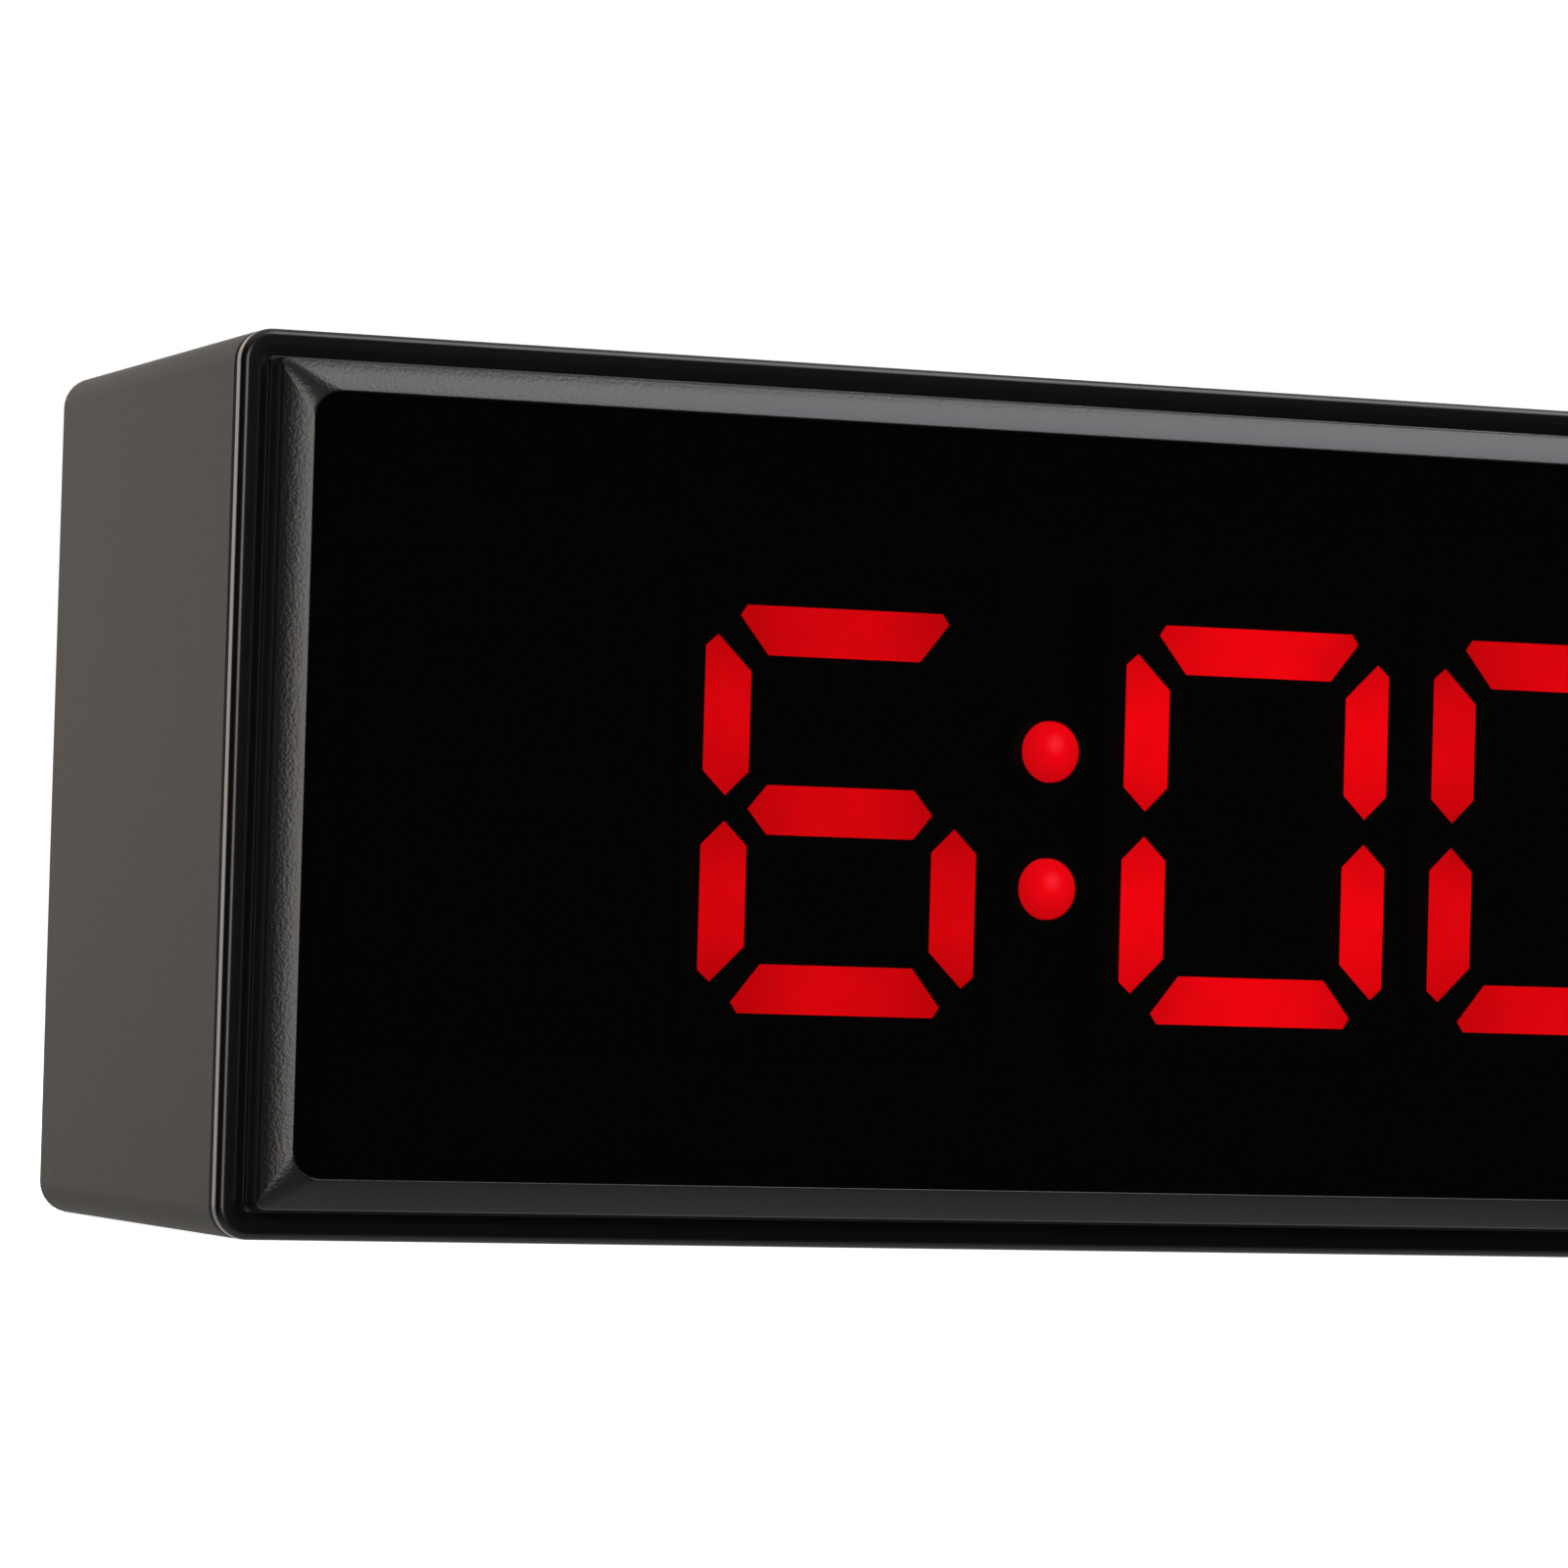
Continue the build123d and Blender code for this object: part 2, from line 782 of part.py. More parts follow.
def volume_slider():
    foot = control_face + slider_pocket + slider_foot_gap
    shaft = side_slab(Rectangle(*slider_knob), foot, side + slider_proud, button_y, slider_z)
    return chamfer(shaft.faces().sort_by(Axis.X)[-1].edges(), slider_edge)


def rocker_profile():
    """Rocker seen along its pivot: round below, two shallow flats above."""
    disc = Circle(rocker_swing_radius)
    half = rocker_half_length
    above = (rocker_swing_radius**2 - half**2) ** 0.5
    reach = rocker_swing_radius + 1
    low = above - rocker_hollow
    cover = Polyline(
        (0, low), (half, above), (reach, above), (reach, reach), (-reach, reach),
        (-reach, above), (-half, above), close=True,
    )
    return disc - make_face(cover)


def rocker():
    """Rocker at rest with its lower end pressed in."""
    plane = Plane(
        origin=(rocker_pivot_x, rocker_y - rocker_half_width, rocker_z),
        x_dir=(0, 0, 1),
        z_dir=(0, 1, 0),
    )
    paddle = extrude(plane * rocker_profile(), amount=2 * rocker_half_width)
    reach = rocker_half_width + rocker_gap + rocker_wall - rocker_pin_socket
    pin = rod_y(rocker_pin_radius, rocker_y - reach, rocker_y + reach, rocker_pivot_x, rocker_z)
    axis = Axis((rocker_pivot_x, rocker_y, rocker_z), (0, 1, 0))
    return (paddle + pin).rotate(axis, rocker_tilt)


def rocker_body():
    """Snap-in switch body with a flange on the outside of the case."""
    face = side + rocker_flange_height
    outline = RectangleRounded(*rocker_flange, rocker_flange_radius)
    flange = side_slab(outline, side, face, rocker_y, rocker_z)
    flange = chamfer(flange.edges().group_by(Axis.X)[-1], rocker_flange_edge)
    body = flange + side_slab(rocker_sketch(), side - rocker_depth, side, rocker_y, rocker_z)
    well = rocker_sketch(-rocker_wall)
    floor = rocker_pivot_x - rocker_swing_radius - rocker_floor_gap
    body -= side_slab(well, floor, face, rocker_y, rocker_z)
    reach = rocker_half_width + rocker_gap + rocker_wall - rocker_pin_socket + 2 * thread_slip
    socket_radius = rocker_pin_radius + thread_slip
    body -= rod_y(socket_radius, rocker_y - reach, rocker_y + reach, rocker_pivot_x, rocker_z)
    return body


def tags(x, y, z, pitch):
    """Two flat solder tags that stand out of the back of a switch or socket."""
    length, breadth, sheet = tag_size
    outline = Rectangle(breadth, sheet)
    return [side_slab(outline, x - length, x, y, z + sign * pitch / 2) for sign in (-1, 1)]


def rocker_tags():
    return tags(side - rocker_depth, rocker_y, rocker_z, rocker_tag_pitch)


def jack_body():
    """Round power socket: flange outside, barrel through the wall, bore for the plug."""
    body = rod_x(jack_flange_radius, side, jack_mouth, jack_y, jack_z)
    body = fillet(body.edges().sort_by(Axis.X)[-1], jack_flange_edge)
    body += rod_x(jack_radius, jack_mouth - jack_depth, side, jack_y, jack_z)
    return body - rod_x(jack_bore_radius, jack_mouth - jack_bore_depth, jack_mouth, jack_y, jack_z)


def jack_pin():
    tip = jack_mouth - jack_pin_sink
    pin = rod_x(jack_pin_radius, jack_mouth - jack_bore_depth, tip, jack_y, jack_z)
    return fillet(pin.edges().sort_by(Axis.X)[-1], jack_pin_tip)


def jack_nut():
    start = inner_side - jack_nut_height
    nut = side_slab(RegularPolygon(jack_nut_radius, 6), start, inner_side, jack_y, jack_z)
    return nut - rod_x(jack_radius + thread_slip, start, inner_side, jack_y, jack_z)


def jack_tags():
    return tags(jack_mouth - jack_depth, jack_y, jack_z, jack_tag_pitch)


def board_block(start, y, z, size):
    """A box centred on y and z that stands down from start along -X."""
    drop, across, along = size
    return side_slab(Rectangle(across, along), start - drop, start, y, z)


def controller_chip():
    y, rise = controller_place
    return board_block(board_back, y, middle + rise, controller_size)


def capacitors():
    """Two smoothing capacitors standing out from the control board."""
    start = board_back - capacitor_length
    return [rod_x(capacitor_radius, start, board_back, capacitor_y, z) for z in capacitor_z]


def regulator():
    return board_block(board_back, *regulator_place, regulator_size)


def heat_sink():
    """Small finned sink on the back of the regulator."""
    back = board_back - regulator_size[0]
    drop, across, along = sink_size
    y, z = regulator_place
    sink = board_block(back, y, z, (sink_plate, across, along))
    for i in range(sink_fins):
        fin_z = z + (i / (sink_fins - 1) - 0.5) * (along - sink_fin)
        sink += board_block(back - sink_plate, y, fin_z, (drop - sink_plate, across, sink_fin))
    return sink


def display_header():
    size = (header_width, header_height, header_length)
    return centred_block(ribbon_x, board_rear, ribbon_z, size)


def control_header():
    return board_block(board_back, ribbon_y, ribbon_z, (header_height, header_width, header_length))


def ribbon_cable():
    """Flat cable from the display board to the control board, bent once."""
    start = board_rear + header_height
    route = FilletPolyline(
        (ribbon_x, start, ribbon_z),
        (ribbon_x, ribbon_y, ribbon_z),
        (board_back - header_height, ribbon_y, ribbon_z),
        radius=ribbon_bend,
    )
    section = Plane(origin=(ribbon_x, start, ribbon_z), x_dir=(1, 0, 0), z_dir=(0, 1, 0))
    return sweep(section * Rectangle(ribbon_thickness, ribbon_width), path=route)


# Loudspeaker


def ring_y(outer, inner, start, end):
    return rod_y(outer, start, end, 0, middle) - rod_y(inner, start, end, 0, middle)


def turned(points):
    """A closed outline of (radius, y) points turned round the loudspeaker's axis."""
    profile = make_face(Polyline(*[(x, y, middle) for x, y in points], close=True))
    return revolve(profile, axis=Axis((0, 0, middle), (0, 1, 0)))


def speaker_basket():
    """Pressed steel frame: flat rim, sloping wall and back plate."""
    rim_front = inner_rear - speaker_rim
    plate = speaker_back + magnet_height
    rim_inner = speaker_radius - speaker_rim_width
    rim = ring_y(speaker_radius, rim_inner, rim_front, inner_rear)
    shell = turned([
        (rim_inner + basket_sheet, rim_front),
        (magnet_radius + basket_sheet, plate + basket_sheet),
        (magnet_radius + basket_sheet, plate),
        (basket_hole_radius, plate),
        (basket_hole_radius, plate + basket_sheet),
        (magnet_radius, plate + basket_sheet),
        (rim_inner, rim_front),
    ])
    return rim + shell


def speaker_magnet():
    return rod_y(magnet_radius, speaker_back, speaker_back + magnet_height, 0, middle)


def speaker_cone():
    """Paper cone with its roll surround and dust cap."""
    edge = inner_rear - surround_drop
    foot = inner_rear - cone_foot_drop
    cap = foot + dust_cap_rise
    outer = cone_radius + surround_width
    return turned([
        (outer, edge),
        (cone_radius, edge),
        (cone_foot_radius, foot),
        (0, cap),
        (0, cap - cone_sheet),
        (cone_foot_radius, foot - cone_sheet),
        (cone_radius, edge - cone_sheet),
        (outer, edge - cone_sheet),
    ])


def voice_coil():
    start = speaker_back + magnet_height + coil_gap
    end = inner_rear - cone_foot_drop - cone_sheet
    return ring_y(coil_radius, coil_radius - coil_wall, start, end)


def speaker_screws():
    """Washer-head screws at the corners that hold the speaker rim."""
    screws = []
    post = inner_rear - speaker_post_height
    washer_radius, washer = speaker_washer
    head_radius, head = speaker_screw_head
    for x, z in speaker_posts:
        screw = rod_y(washer_radius, post - washer, post, x, z)
        screw += rod_y(head_radius, post - washer - head, post - washer, x, z)
        screw += rod_y(board_screw_radius - thread_slip, post, inner_rear, x, z)
        screws.append(screw)
    return screws


def speaker_leads():
    """Two insulated wires from the speaker to the control board."""
    leads = []
    start_y = speaker_back + magnet_height + 3
    for shift in (0.0, lead_pitch):
        x = magnet_radius + 8 + shift
        z = middle - 14 - shift
        route = FilletPolyline(
            (x, start_y, z),
            (x, start_y - 14, z),
            (62, start_y - 24, middle - 30 - shift),
            (88, -4, 26 - shift),
            (board_back, -4, 26 - shift),
            radius=lead_bend,
        )
        section = Plane(origin=route @ 0, z_dir=route % 0)
        leads.append(sweep(section * Circle(lead_radius), path=route))
    return leads


# Every node

save("housing", housing())
save("front_bezel", bezel())
save("window", window())
save("window_tape", window_tape())
save("case_screws", *case_screws())
save("case_inserts", *case_inserts())
save("display_frame", display_frame())
save("display_board", display_board())
for number, place in enumerate(digit_x, start=1):
    save(f"digit_case_{number}", digit_case(place))
    save(f"digit_segments_{number}", *digit_segments(place))
save("digit_pins", *digit_pins())
save("colon_leds", *colon_leds())
save("colon_spacers", *colon_spacers())
save("ir_receiver", ir_receiver())
save("board_screws", *board_screws())
save("driver_chips", *driver_chips())
save("display_header", display_header())
save("ribbon_cable", ribbon_cable())
save("control_header", control_header())
save("control_board", control_board())
save("control_board_screws", *control_board_screws())
save("controller_chip", controller_chip())
save("capacitors", *capacitors())
save("regulator", regulator())
save("heat_sink", heat_sink())
save("key_switches", *key_switches())
for name, z in zip(button_names, button_z):
    save(f"{name}_button", button_cap(z))
    save(f"{name}_plunger", key_plunger(z))
save("volume_switch_body", volume_switch_body())
save("volume_slider", volume_slider())
save("rocker_body", rocker_body())
save("rocker", rocker())
save("rocker_tags", *rocker_tags())
save("jack_body", jack_body())
save("jack_pin", jack_pin())
save("jack_nut", jack_nut())
save("jack_tags", *jack_tags())
save("speaker_basket", speaker_basket())
save("speaker_magnet", speaker_magnet())
save("speaker_cone", speaker_cone())
save("voice_coil", voice_coil())
save("speaker_screws", *speaker_screws())
save("speaker_leads", *speaker_leads())
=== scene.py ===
import math

import bpy
from mathutils import Matrix, Vector


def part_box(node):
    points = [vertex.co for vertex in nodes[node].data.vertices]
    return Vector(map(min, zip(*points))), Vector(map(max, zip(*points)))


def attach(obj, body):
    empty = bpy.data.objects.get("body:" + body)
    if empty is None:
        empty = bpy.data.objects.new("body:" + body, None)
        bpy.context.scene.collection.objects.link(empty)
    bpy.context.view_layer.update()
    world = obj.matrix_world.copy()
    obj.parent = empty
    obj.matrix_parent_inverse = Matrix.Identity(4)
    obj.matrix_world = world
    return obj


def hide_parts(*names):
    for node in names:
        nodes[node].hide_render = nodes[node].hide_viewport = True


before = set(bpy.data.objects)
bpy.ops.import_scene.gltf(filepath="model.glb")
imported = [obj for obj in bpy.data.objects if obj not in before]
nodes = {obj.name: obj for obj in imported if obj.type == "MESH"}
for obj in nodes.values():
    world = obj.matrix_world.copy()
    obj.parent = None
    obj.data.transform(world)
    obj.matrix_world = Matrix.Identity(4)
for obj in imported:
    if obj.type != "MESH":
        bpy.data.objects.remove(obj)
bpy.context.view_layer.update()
mm = 0.001
print("frame loaded with", len(nodes), "nodes")


# Shapes are modelled in millimetres round the row's own origin, then settled in metres

def boxMm(node):
    low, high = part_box(node)
    return low / mm, high / mm


def startFresh():
    # Leaves edit mode with nothing selected, so that an operator acts on the new piece alone
    if bpy.context.mode != "OBJECT":
        bpy.ops.object.mode_set(mode="OBJECT")
    bpy.ops.object.select_all(action="DESELECT")


def makeActive(piece):
    startFresh()
    piece.select_set(True)
    bpy.context.view_layer.objects.active = piece


def editPart(piece, kind, test):
    # Opens a piece with only those faces, edges or points selected that pass the test
    makeActive(piece)
    bpy.ops.object.mode_set(mode="EDIT")
    bpy.ops.mesh.select_mode(type=kind)
    bpy.ops.mesh.select_all(action="DESELECT")
    bpy.ops.object.mode_set(mode="OBJECT")
    mesh = piece.data
    if kind == "FACE":
        for face in mesh.polygons:
            face.select = test(face.center, face.normal)
    elif kind == "EDGE":
        for edge in mesh.edges:
            edge.select = test(*[mesh.vertices[i].co for i in edge.vertices])
    else:
        for point in mesh.vertices:
            point.select = test(point.co)
    bpy.ops.object.mode_set(mode="EDIT")


def placeShape(piece, turn, place):
    # A shape is made facing -Y at the origin, turned about Z and put in its place
    makeActive(piece)
    piece.rotation_euler.z = math.radians(turn)
    piece.location = place
    bpy.ops.object.transform_apply(location=True, rotation=True, scale=True)


def joinShapes(shapes, name):
    startFresh()
    for shape in shapes:
        shape.select_set(True)
    bpy.context.view_layer.objects.active = shapes[0]
    if len(shapes) > 1:
        bpy.ops.object.join()
    piece = bpy.context.view_layer.objects.active
    piece.name = name
    piece.data.name = name
    return piece


def copyShape(shape, shift):
    twin = shape.copy()
    twin.data = shape.data.copy()
    bpy.context.scene.collection.objects.link(twin)
    twin.data.transform(Matrix.Translation(shift))
    return twin


def roundOver(start, middle, end, steps=5):
    # Points of a quarter turn between two profile points, round the corner between them
    (a, b), (c, d), (e, f) = start, middle, end
    points = []
    for i in range(steps + 1):
        t = math.radians(90 * i / steps)
        u, v = 1 - math.cos(t), math.sin(t)
        points.append((a + (e - c) * u + (c - a) * v, b + (f - d) * u + (d - b) * v))
    return points


def addOutline(across, up, radius, y, cornerSteps):
    # A rounded outline in X and Z, left as an open loop of edges
    startFresh()
    bpy.ops.mesh.primitive_plane_add(size=2, rotation=(math.pi / 2, 0, 0))
    outline = bpy.context.object
    bpy.ops.object.transform_apply(location=True, rotation=True, scale=True)
    bpy.ops.object.mode_set(mode="EDIT")
    bpy.ops.mesh.select_mode(type="VERT")
    bpy.ops.mesh.select_all(action="SELECT")
    bpy.ops.transform.resize(value=(across, 1, up))
    bpy.ops.transform.translate(value=(0, y, 0))
    bpy.ops.mesh.bevel(offset=radius, segments=cornerSteps, affect="VERTICES")
    bpy.ops.mesh.select_all(action="SELECT")
    bpy.ops.mesh.delete(type="ONLY_FACE")
    bpy.ops.object.mode_set(mode="OBJECT")
    return outline


def loftOutlines(name, outlines, cornerSteps=8, loop=False, turn=0, place=(0, 0, 0)):
    # Bridges outlines of (half width, half height, corner radius, y), closed by end faces or into a loop
    shapes = []
    for number, outline in enumerate(outlines):
        shape = addOutline(*outline, cornerSteps)
        group = shape.vertex_groups.new(name=f"outline{number}")
        group.add(range(len(shape.data.vertices)), 1, "REPLACE")
        shapes.append(shape)
    piece = joinShapes(shapes, name)
    bpy.ops.object.mode_set(mode="EDIT")
    bpy.ops.mesh.select_mode(type="VERT")
    last = len(outlines) - 1
    pairs = [(i, i + 1) for i in range(last)]
    pairs += [(last, 0)] if loop else [(0,), (last,)]
    for pair in pairs:
        bpy.ops.mesh.select_all(action="DESELECT")
        for number in pair:
            piece.vertex_groups.active = piece.vertex_groups[f"outline{number}"]
            bpy.ops.object.vertex_group_select()
        if len(pair) == 2:
            bpy.ops.mesh.bridge_edge_loops()
        else:
            bpy.ops.mesh.edge_face_add()
    bpy.ops.mesh.select_all(action="SELECT")
    bpy.ops.mesh.normals_make_consistent(inside=False)
    bpy.ops.object.mode_set(mode="OBJECT")
    piece.vertex_groups.clear()
    placeShape(piece, turn, place)
    return piece


def turnProfile(name, points, steps=48, turn=0, place=(0, 0, 0)):
    # Spins a chain of (radius, y) points round the Y axis
    startFresh()
    bpy.ops.mesh.primitive_plane_add(size=1)
    piece = bpy.context.object
    piece.name = name
    piece.data.name = name
    bpy.ops.object.mode_set(mode="EDIT")
    bpy.ops.mesh.select_mode(type="VERT")
    bpy.ops.mesh.select_all(action="SELECT")
    bpy.ops.mesh.merge(type="CENTER")
    bpy.ops.transform.translate(value=(points[0][0], points[0][1], 0))
    for (radius, y), (nextRadius, nextY) in zip(points, points[1:]):
        step = (nextRadius - radius, nextY - y, 0)
        bpy.ops.mesh.extrude_region_move(TRANSFORM_OT_translate={"value": step})
    bpy.ops.mesh.select_all(action="SELECT")
    bpy.ops.mesh.spin(steps=steps, angle=2 * math.pi, center=(0, 0, 0), axis=(0, 1, 0), use_auto_merge=False)
    bpy.ops.mesh.select_all(action="SELECT")
    bpy.ops.mesh.remove_doubles(threshold=0.0005)
    bpy.ops.mesh.normals_make_consistent(inside=False)
    bpy.ops.object.mode_set(mode="OBJECT")
    placeShape(piece, turn, place)
    return piece


def applyBoolean(piece, others, operation):
    other = joinShapes(others, "helper")
    makeActive(piece)
    modifier = piece.modifiers.new("shape", "BOOLEAN")
    modifier.object = other
    modifier.solver = "EXACT"
    modifier.operation = operation
    bpy.ops.object.modifier_apply(modifier=modifier.name)
    bpy.data.objects.remove(other)
    editPart(piece, "VERT", lambda point: True)
    bpy.ops.mesh.remove_doubles(threshold=0.0005)
    bpy.ops.mesh.dissolve_degenerate(threshold=0.0005)
    bpy.ops.object.mode_set(mode="OBJECT")


def settle(piece, finish, slot, body, *replaced, smooth=32):
    # Brings a piece to metres, shades it, gives it its finish and its body, and hides the nodes it stands for
    makeActive(piece)
    piece.scale = (mm, mm, mm)
    bpy.ops.object.transform_apply(location=True, rotation=True, scale=True)
    bpy.ops.object.shade_smooth_by_angle(angle=math.radians(smooth))
    modifier = piece.modifiers.new("evenShading", "WEIGHTED_NORMAL")
    modifier.keep_sharp = True
    bpy.ops.object.modifier_apply(modifier=modifier.name)
    piece.data.materials.clear()
    piece.data.materials.append(finish)
    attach(piece, body)
    if replaced:
        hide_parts(*replaced)
    return piece


# Finishes

def linear(colour):
    # sRGB hex to the linear values that a shader takes
    parts = [int(colour[i:i + 2], 16) / 255 for i in (1, 3, 5)]
    return [p / 12.92 if p <= 0.04045 else ((p + 0.055) / 1.055) ** 2.4 for p in parts] + [1]


def addNode(tree, kind, inputs=(), **settings):
    # One node with its settings; an input is linked if it is given a socket, and set otherwise
    node = tree.nodes.new(kind)
    for name, value in settings.items():
        setattr(node, name, value)
    for name, value in dict(inputs).items():
        if isinstance(value, bpy.types.NodeSocket):
            tree.links.new(value, node.inputs[name])
        else:
            node.inputs[name].default_value = value
    return node


def newFinish(name, values):
    finish = bpy.data.materials.new(name)
    finish.use_nodes = True
    tree = finish.node_tree
    shader = tree.nodes["Principled BSDF"]
    for inputName, value in values.items():
        shader.inputs[inputName].default_value = value
    place = addNode(tree, "ShaderNodeTexCoord").outputs["Object"]
    return finish, tree, shader, place


def addNoise(tree, place, size, detail):
    # Soft noise with features of that size in millimetres
    noise = addNode(tree, "ShaderNodeTexNoise", {"Vector": place, "Scale": 1 / (size * mm), "Detail": detail})
    return noise.outputs["Fac"]


def mixTones(tree, share, low, high, **settings):
    # Blends two tones, each an sRGB hex or a socket
    low, high = [linear(tone) if isinstance(tone, str) else tone for tone in (low, high)]
    mix = addNode(tree, "ShaderNodeMix", {0: share, 6: low, 7: high}, data_type="RGBA", **settings)
    return mix.outputs[2]


def addRelief(tree, shader, height, strength, depth):
    # Relief of the surface, its depth in millimetres
    relief = addNode(tree, "ShaderNodeBump", {"Height": height, "Strength": strength, "Distance": depth * mm})
    tree.links.new(relief.outputs["Normal"], shader.inputs["Normal"])


def grainedFinish(name, look):
    # Two close tones in soft patches, with a fine surface grain; sizes are in millimetres
    finish, tree, shader, place = newFinish(name, {
        "Roughness": look["roughness"],
        "Metallic": look.get("metallic", 0),
        "Specular IOR Level": look.get("specular", 0.5),
    })
    tones = mixTones(tree, addNoise(tree, place, look["patch"], 3.0), look["dark"], look["light"])
    tree.links.new(tones, shader.inputs["Base Color"])
    addRelief(tree, shader, addNoise(tree, place, look["grain"], 2.0), 0.6, look["relief"])
    return finish


# Textured black ABS of the housing: a matt spark-eroded grain that scatters light to a warm dark grey,
# with fine darker flecks and a little dust
housingLook = {"dark": "#2b2a28", "light": "#32302e", "darkFleck": "#141413", "dust": "#8c8a86", "roughness": 0.62,
               "patch": 9.0, "fleckSize": 0.8, "dustSpacing": 14.0, "grain": 0.45, "relief": 0.02}


def texturedAbs():
    look = housingLook
    finish, tree, shader, place = newFinish("texturedBlackAbs", {
        "Roughness": look["roughness"], "Specular IOR Level": 0.45})
    tones = mixTones(tree, addNoise(tree, place, look["patch"], 4.0), look["dark"], look["light"])
    # Fine darker flecks, placed by noise
    flecked = addNode(tree, "ShaderNodeMapRange", {
        "Value": addNoise(tree, place, look["fleckSize"], 1.5), "From Min": 0.60, "From Max": 0.70,
        "To Max": 0.9})
    withFlecks = mixTones(tree, flecked.outputs["Result"], tones, look["darkFleck"])
    specks = addNode(tree, "ShaderNodeTexVoronoi", {
        "Vector": place, "Scale": 1 / (look["dustSpacing"] * mm)})
    dusty = addNode(tree, "ShaderNodeMapRange", {
        "Value": specks.outputs["Distance"], "From Min": 0.010, "From Max": 0.018, "To Min": 0.8,
        "To Max": 0.0})
    withDust = mixTones(tree, dusty.outputs["Result"], withFlecks, look["dust"])
    tree.links.new(withDust, shader.inputs["Base Color"])
    addRelief(tree, shader, addNoise(tree, place, look["grain"], 3.0), 0.7, look["relief"])
    return finish


# Black ABS of the bezel: polished on the rim and the step, which stay nearly black,
# and finely textured on the raised bevel, which spreads the softbox to an even grey
bezelLook = {"colour": "#0c0c0d", "band": "#131212", "polish": 0.26, "satin": 0.27, "grain": 0.5,
             "relief": 0.06, "fadeFrom": 0.7, "fadeTo": -0.1}


def bezelAbs(front, stepTop):
    look = bezelLook
    finish, tree, shader, place = newFinish("polishedBlackAbs", {"Specular IOR Level": 0.5})
    along = addNode(tree, "ShaderNodeSeparateXYZ", {"Vector": place})
    raised = addNode(tree, "ShaderNodeMapRange", {
        "Value": along.outputs["Y"], "From Min": (front - stepTop + look["fadeFrom"]) * mm,
        "From Max": (front - stepTop + look["fadeTo"]) * mm}).outputs["Result"]
    tree.links.new(mixTones(tree, raised, look["colour"], look["band"]), shader.inputs["Base Color"])
    gloss = addNode(tree, "ShaderNodeMapRange", {
        "Value": raised, "To Min": look["polish"], "To Max": look["satin"]})
    tree.links.new(gloss.outputs["Result"], shader.inputs["Roughness"])
    depth = addNode(tree, "ShaderNodeMapRange", {"Value": raised, "To Min": 0.03, "To Max": 0.8})
    grain = addNoise(tree, place, look["grain"], 2.5)
    addRelief(tree, shader, grain, depth.outputs["Result"], look["relief"])
    return finish


# Smoked acrylic of the window: so dark that only the lit segments come through, with a clear polished face
def smokedAcrylic():
    finish, tree, shader, place = newFinish("smokedAcrylic", {
        "Base Color": linear("#6b6060"), "Roughness": 0.0, "IOR": 1.49, "Transmission Weight": 1.0,
        "Specular IOR Level": 0.3})
    addRelief(tree, shader, addNoise(tree, place, 60, 1.0), 0.05, 0.2)
    return finish


# Red diffused epoxy over a lit diode: brightest at the middle of a bar and duller to its ends
def litEpoxy(name, strength, fall):
    finish, tree, shader, place = newFinish(name, {"Roughness": 0.4, "Base Color": linear("#5a0408")})
    parts = addNode(tree, "ShaderNodeSeparateXYZ", {"Vector": place.node.outputs["UV"]})
    offset = addNode(tree, "ShaderNodeMath", {0: parts.outputs["X"], 1: 0.5}, operation="SUBTRACT").outputs[0]
    square = addNode(tree, "ShaderNodeMath", {0: offset, 1: offset}, operation="MULTIPLY")
    mottle = addNoise(tree, place, 5, 2.0)
    lift = addNode(tree, "ShaderNodeMath", {0: mottle, 1: 0.2, 2: 0.88}, operation="MULTIPLY_ADD")
    glow = addNode(tree, "ShaderNodeMath", {0: square.outputs[0], 1: -4 * fall, 2: lift.outputs[0]},
                   operation="MULTIPLY_ADD")
    warm = mixTones(tree, glow.outputs[0], "#000000", "#ff0210", clamp_factor=False)
    tree.links.new(warm, shader.inputs["Emission Color"])
    shader.inputs["Emission Strength"].default_value = strength
    return finish


# Domed diffused lamp: its own red glow, with a painted highlight up and to the right of its middle and
# painted shade that darkens it towards the lower edge
def lampEpoxy():
    finish, tree, shader, place = newFinish("litDomeEpoxy", {
        "Roughness": 0.3, "Base Color": linear("#5a0408")})
    fromPaintedHighlight = addNode(tree, "ShaderNodeVectorMath", {
        0: place.node.outputs["UV"], 1: (0.56, 0.63, 0.0)}, operation="DISTANCE").outputs["Value"]
    # Painted highlight: a paler, brighter red round a point up and to the right of the middle
    paintedHighlight = addNode(tree, "ShaderNodeMapRange", {
        "Value": fromPaintedHighlight, "From Min": 0.0, "From Max": 0.22, "To Min": 1.0, "To Max": 0.0},
        interpolation_type="SMOOTHSTEP")
    # Painted shade: the glow falls from bright near the painted highlight to dull at the far, lower edge
    edge = addNode(tree, "ShaderNodeMapRange", {
        "Value": fromPaintedHighlight, "From Min": 0.0, "From Max": 0.68, "To Min": 1.32, "To Max": 0.72})
    highlightedRed = mixTones(tree, paintedHighlight.outputs[0], "#ff0414", "#ff2838")
    shade = mixTones(tree, edge.outputs[0], "#000000", highlightedRed, clamp_factor=False)
    tree.links.new(shade, shader.inputs["Emission Color"])
    shader.inputs["Emission Strength"].default_value = lamp["strength"]
    return finish


# Board laminate: dark green solder mask over copper tracks, with a faint glass weave
def boardLaminate():
    finish, tree, shader, place = newFinish("maskedLaminate", {"Roughness": 0.38})
    tracks = addNode(tree, "ShaderNodeTexBrick", {
        "Vector": place, "Scale": 1 / (14 * mm), "Mortar Size": 0.02, "Color1": linear("#0c2013"),
        "Color2": linear("#0e2617"), "Mortar": linear("#16391f")})
    tree.links.new(tracks.outputs["Color"], shader.inputs["Base Color"])
    weave = addNode(tree, "ShaderNodeTexWave", {"Vector": place, "Scale": 1 / (3.2 * mm), "Distortion": 1.0})
    addRelief(tree, shader, weave.outputs["Fac"], 0.2, 0.02)
    return finish
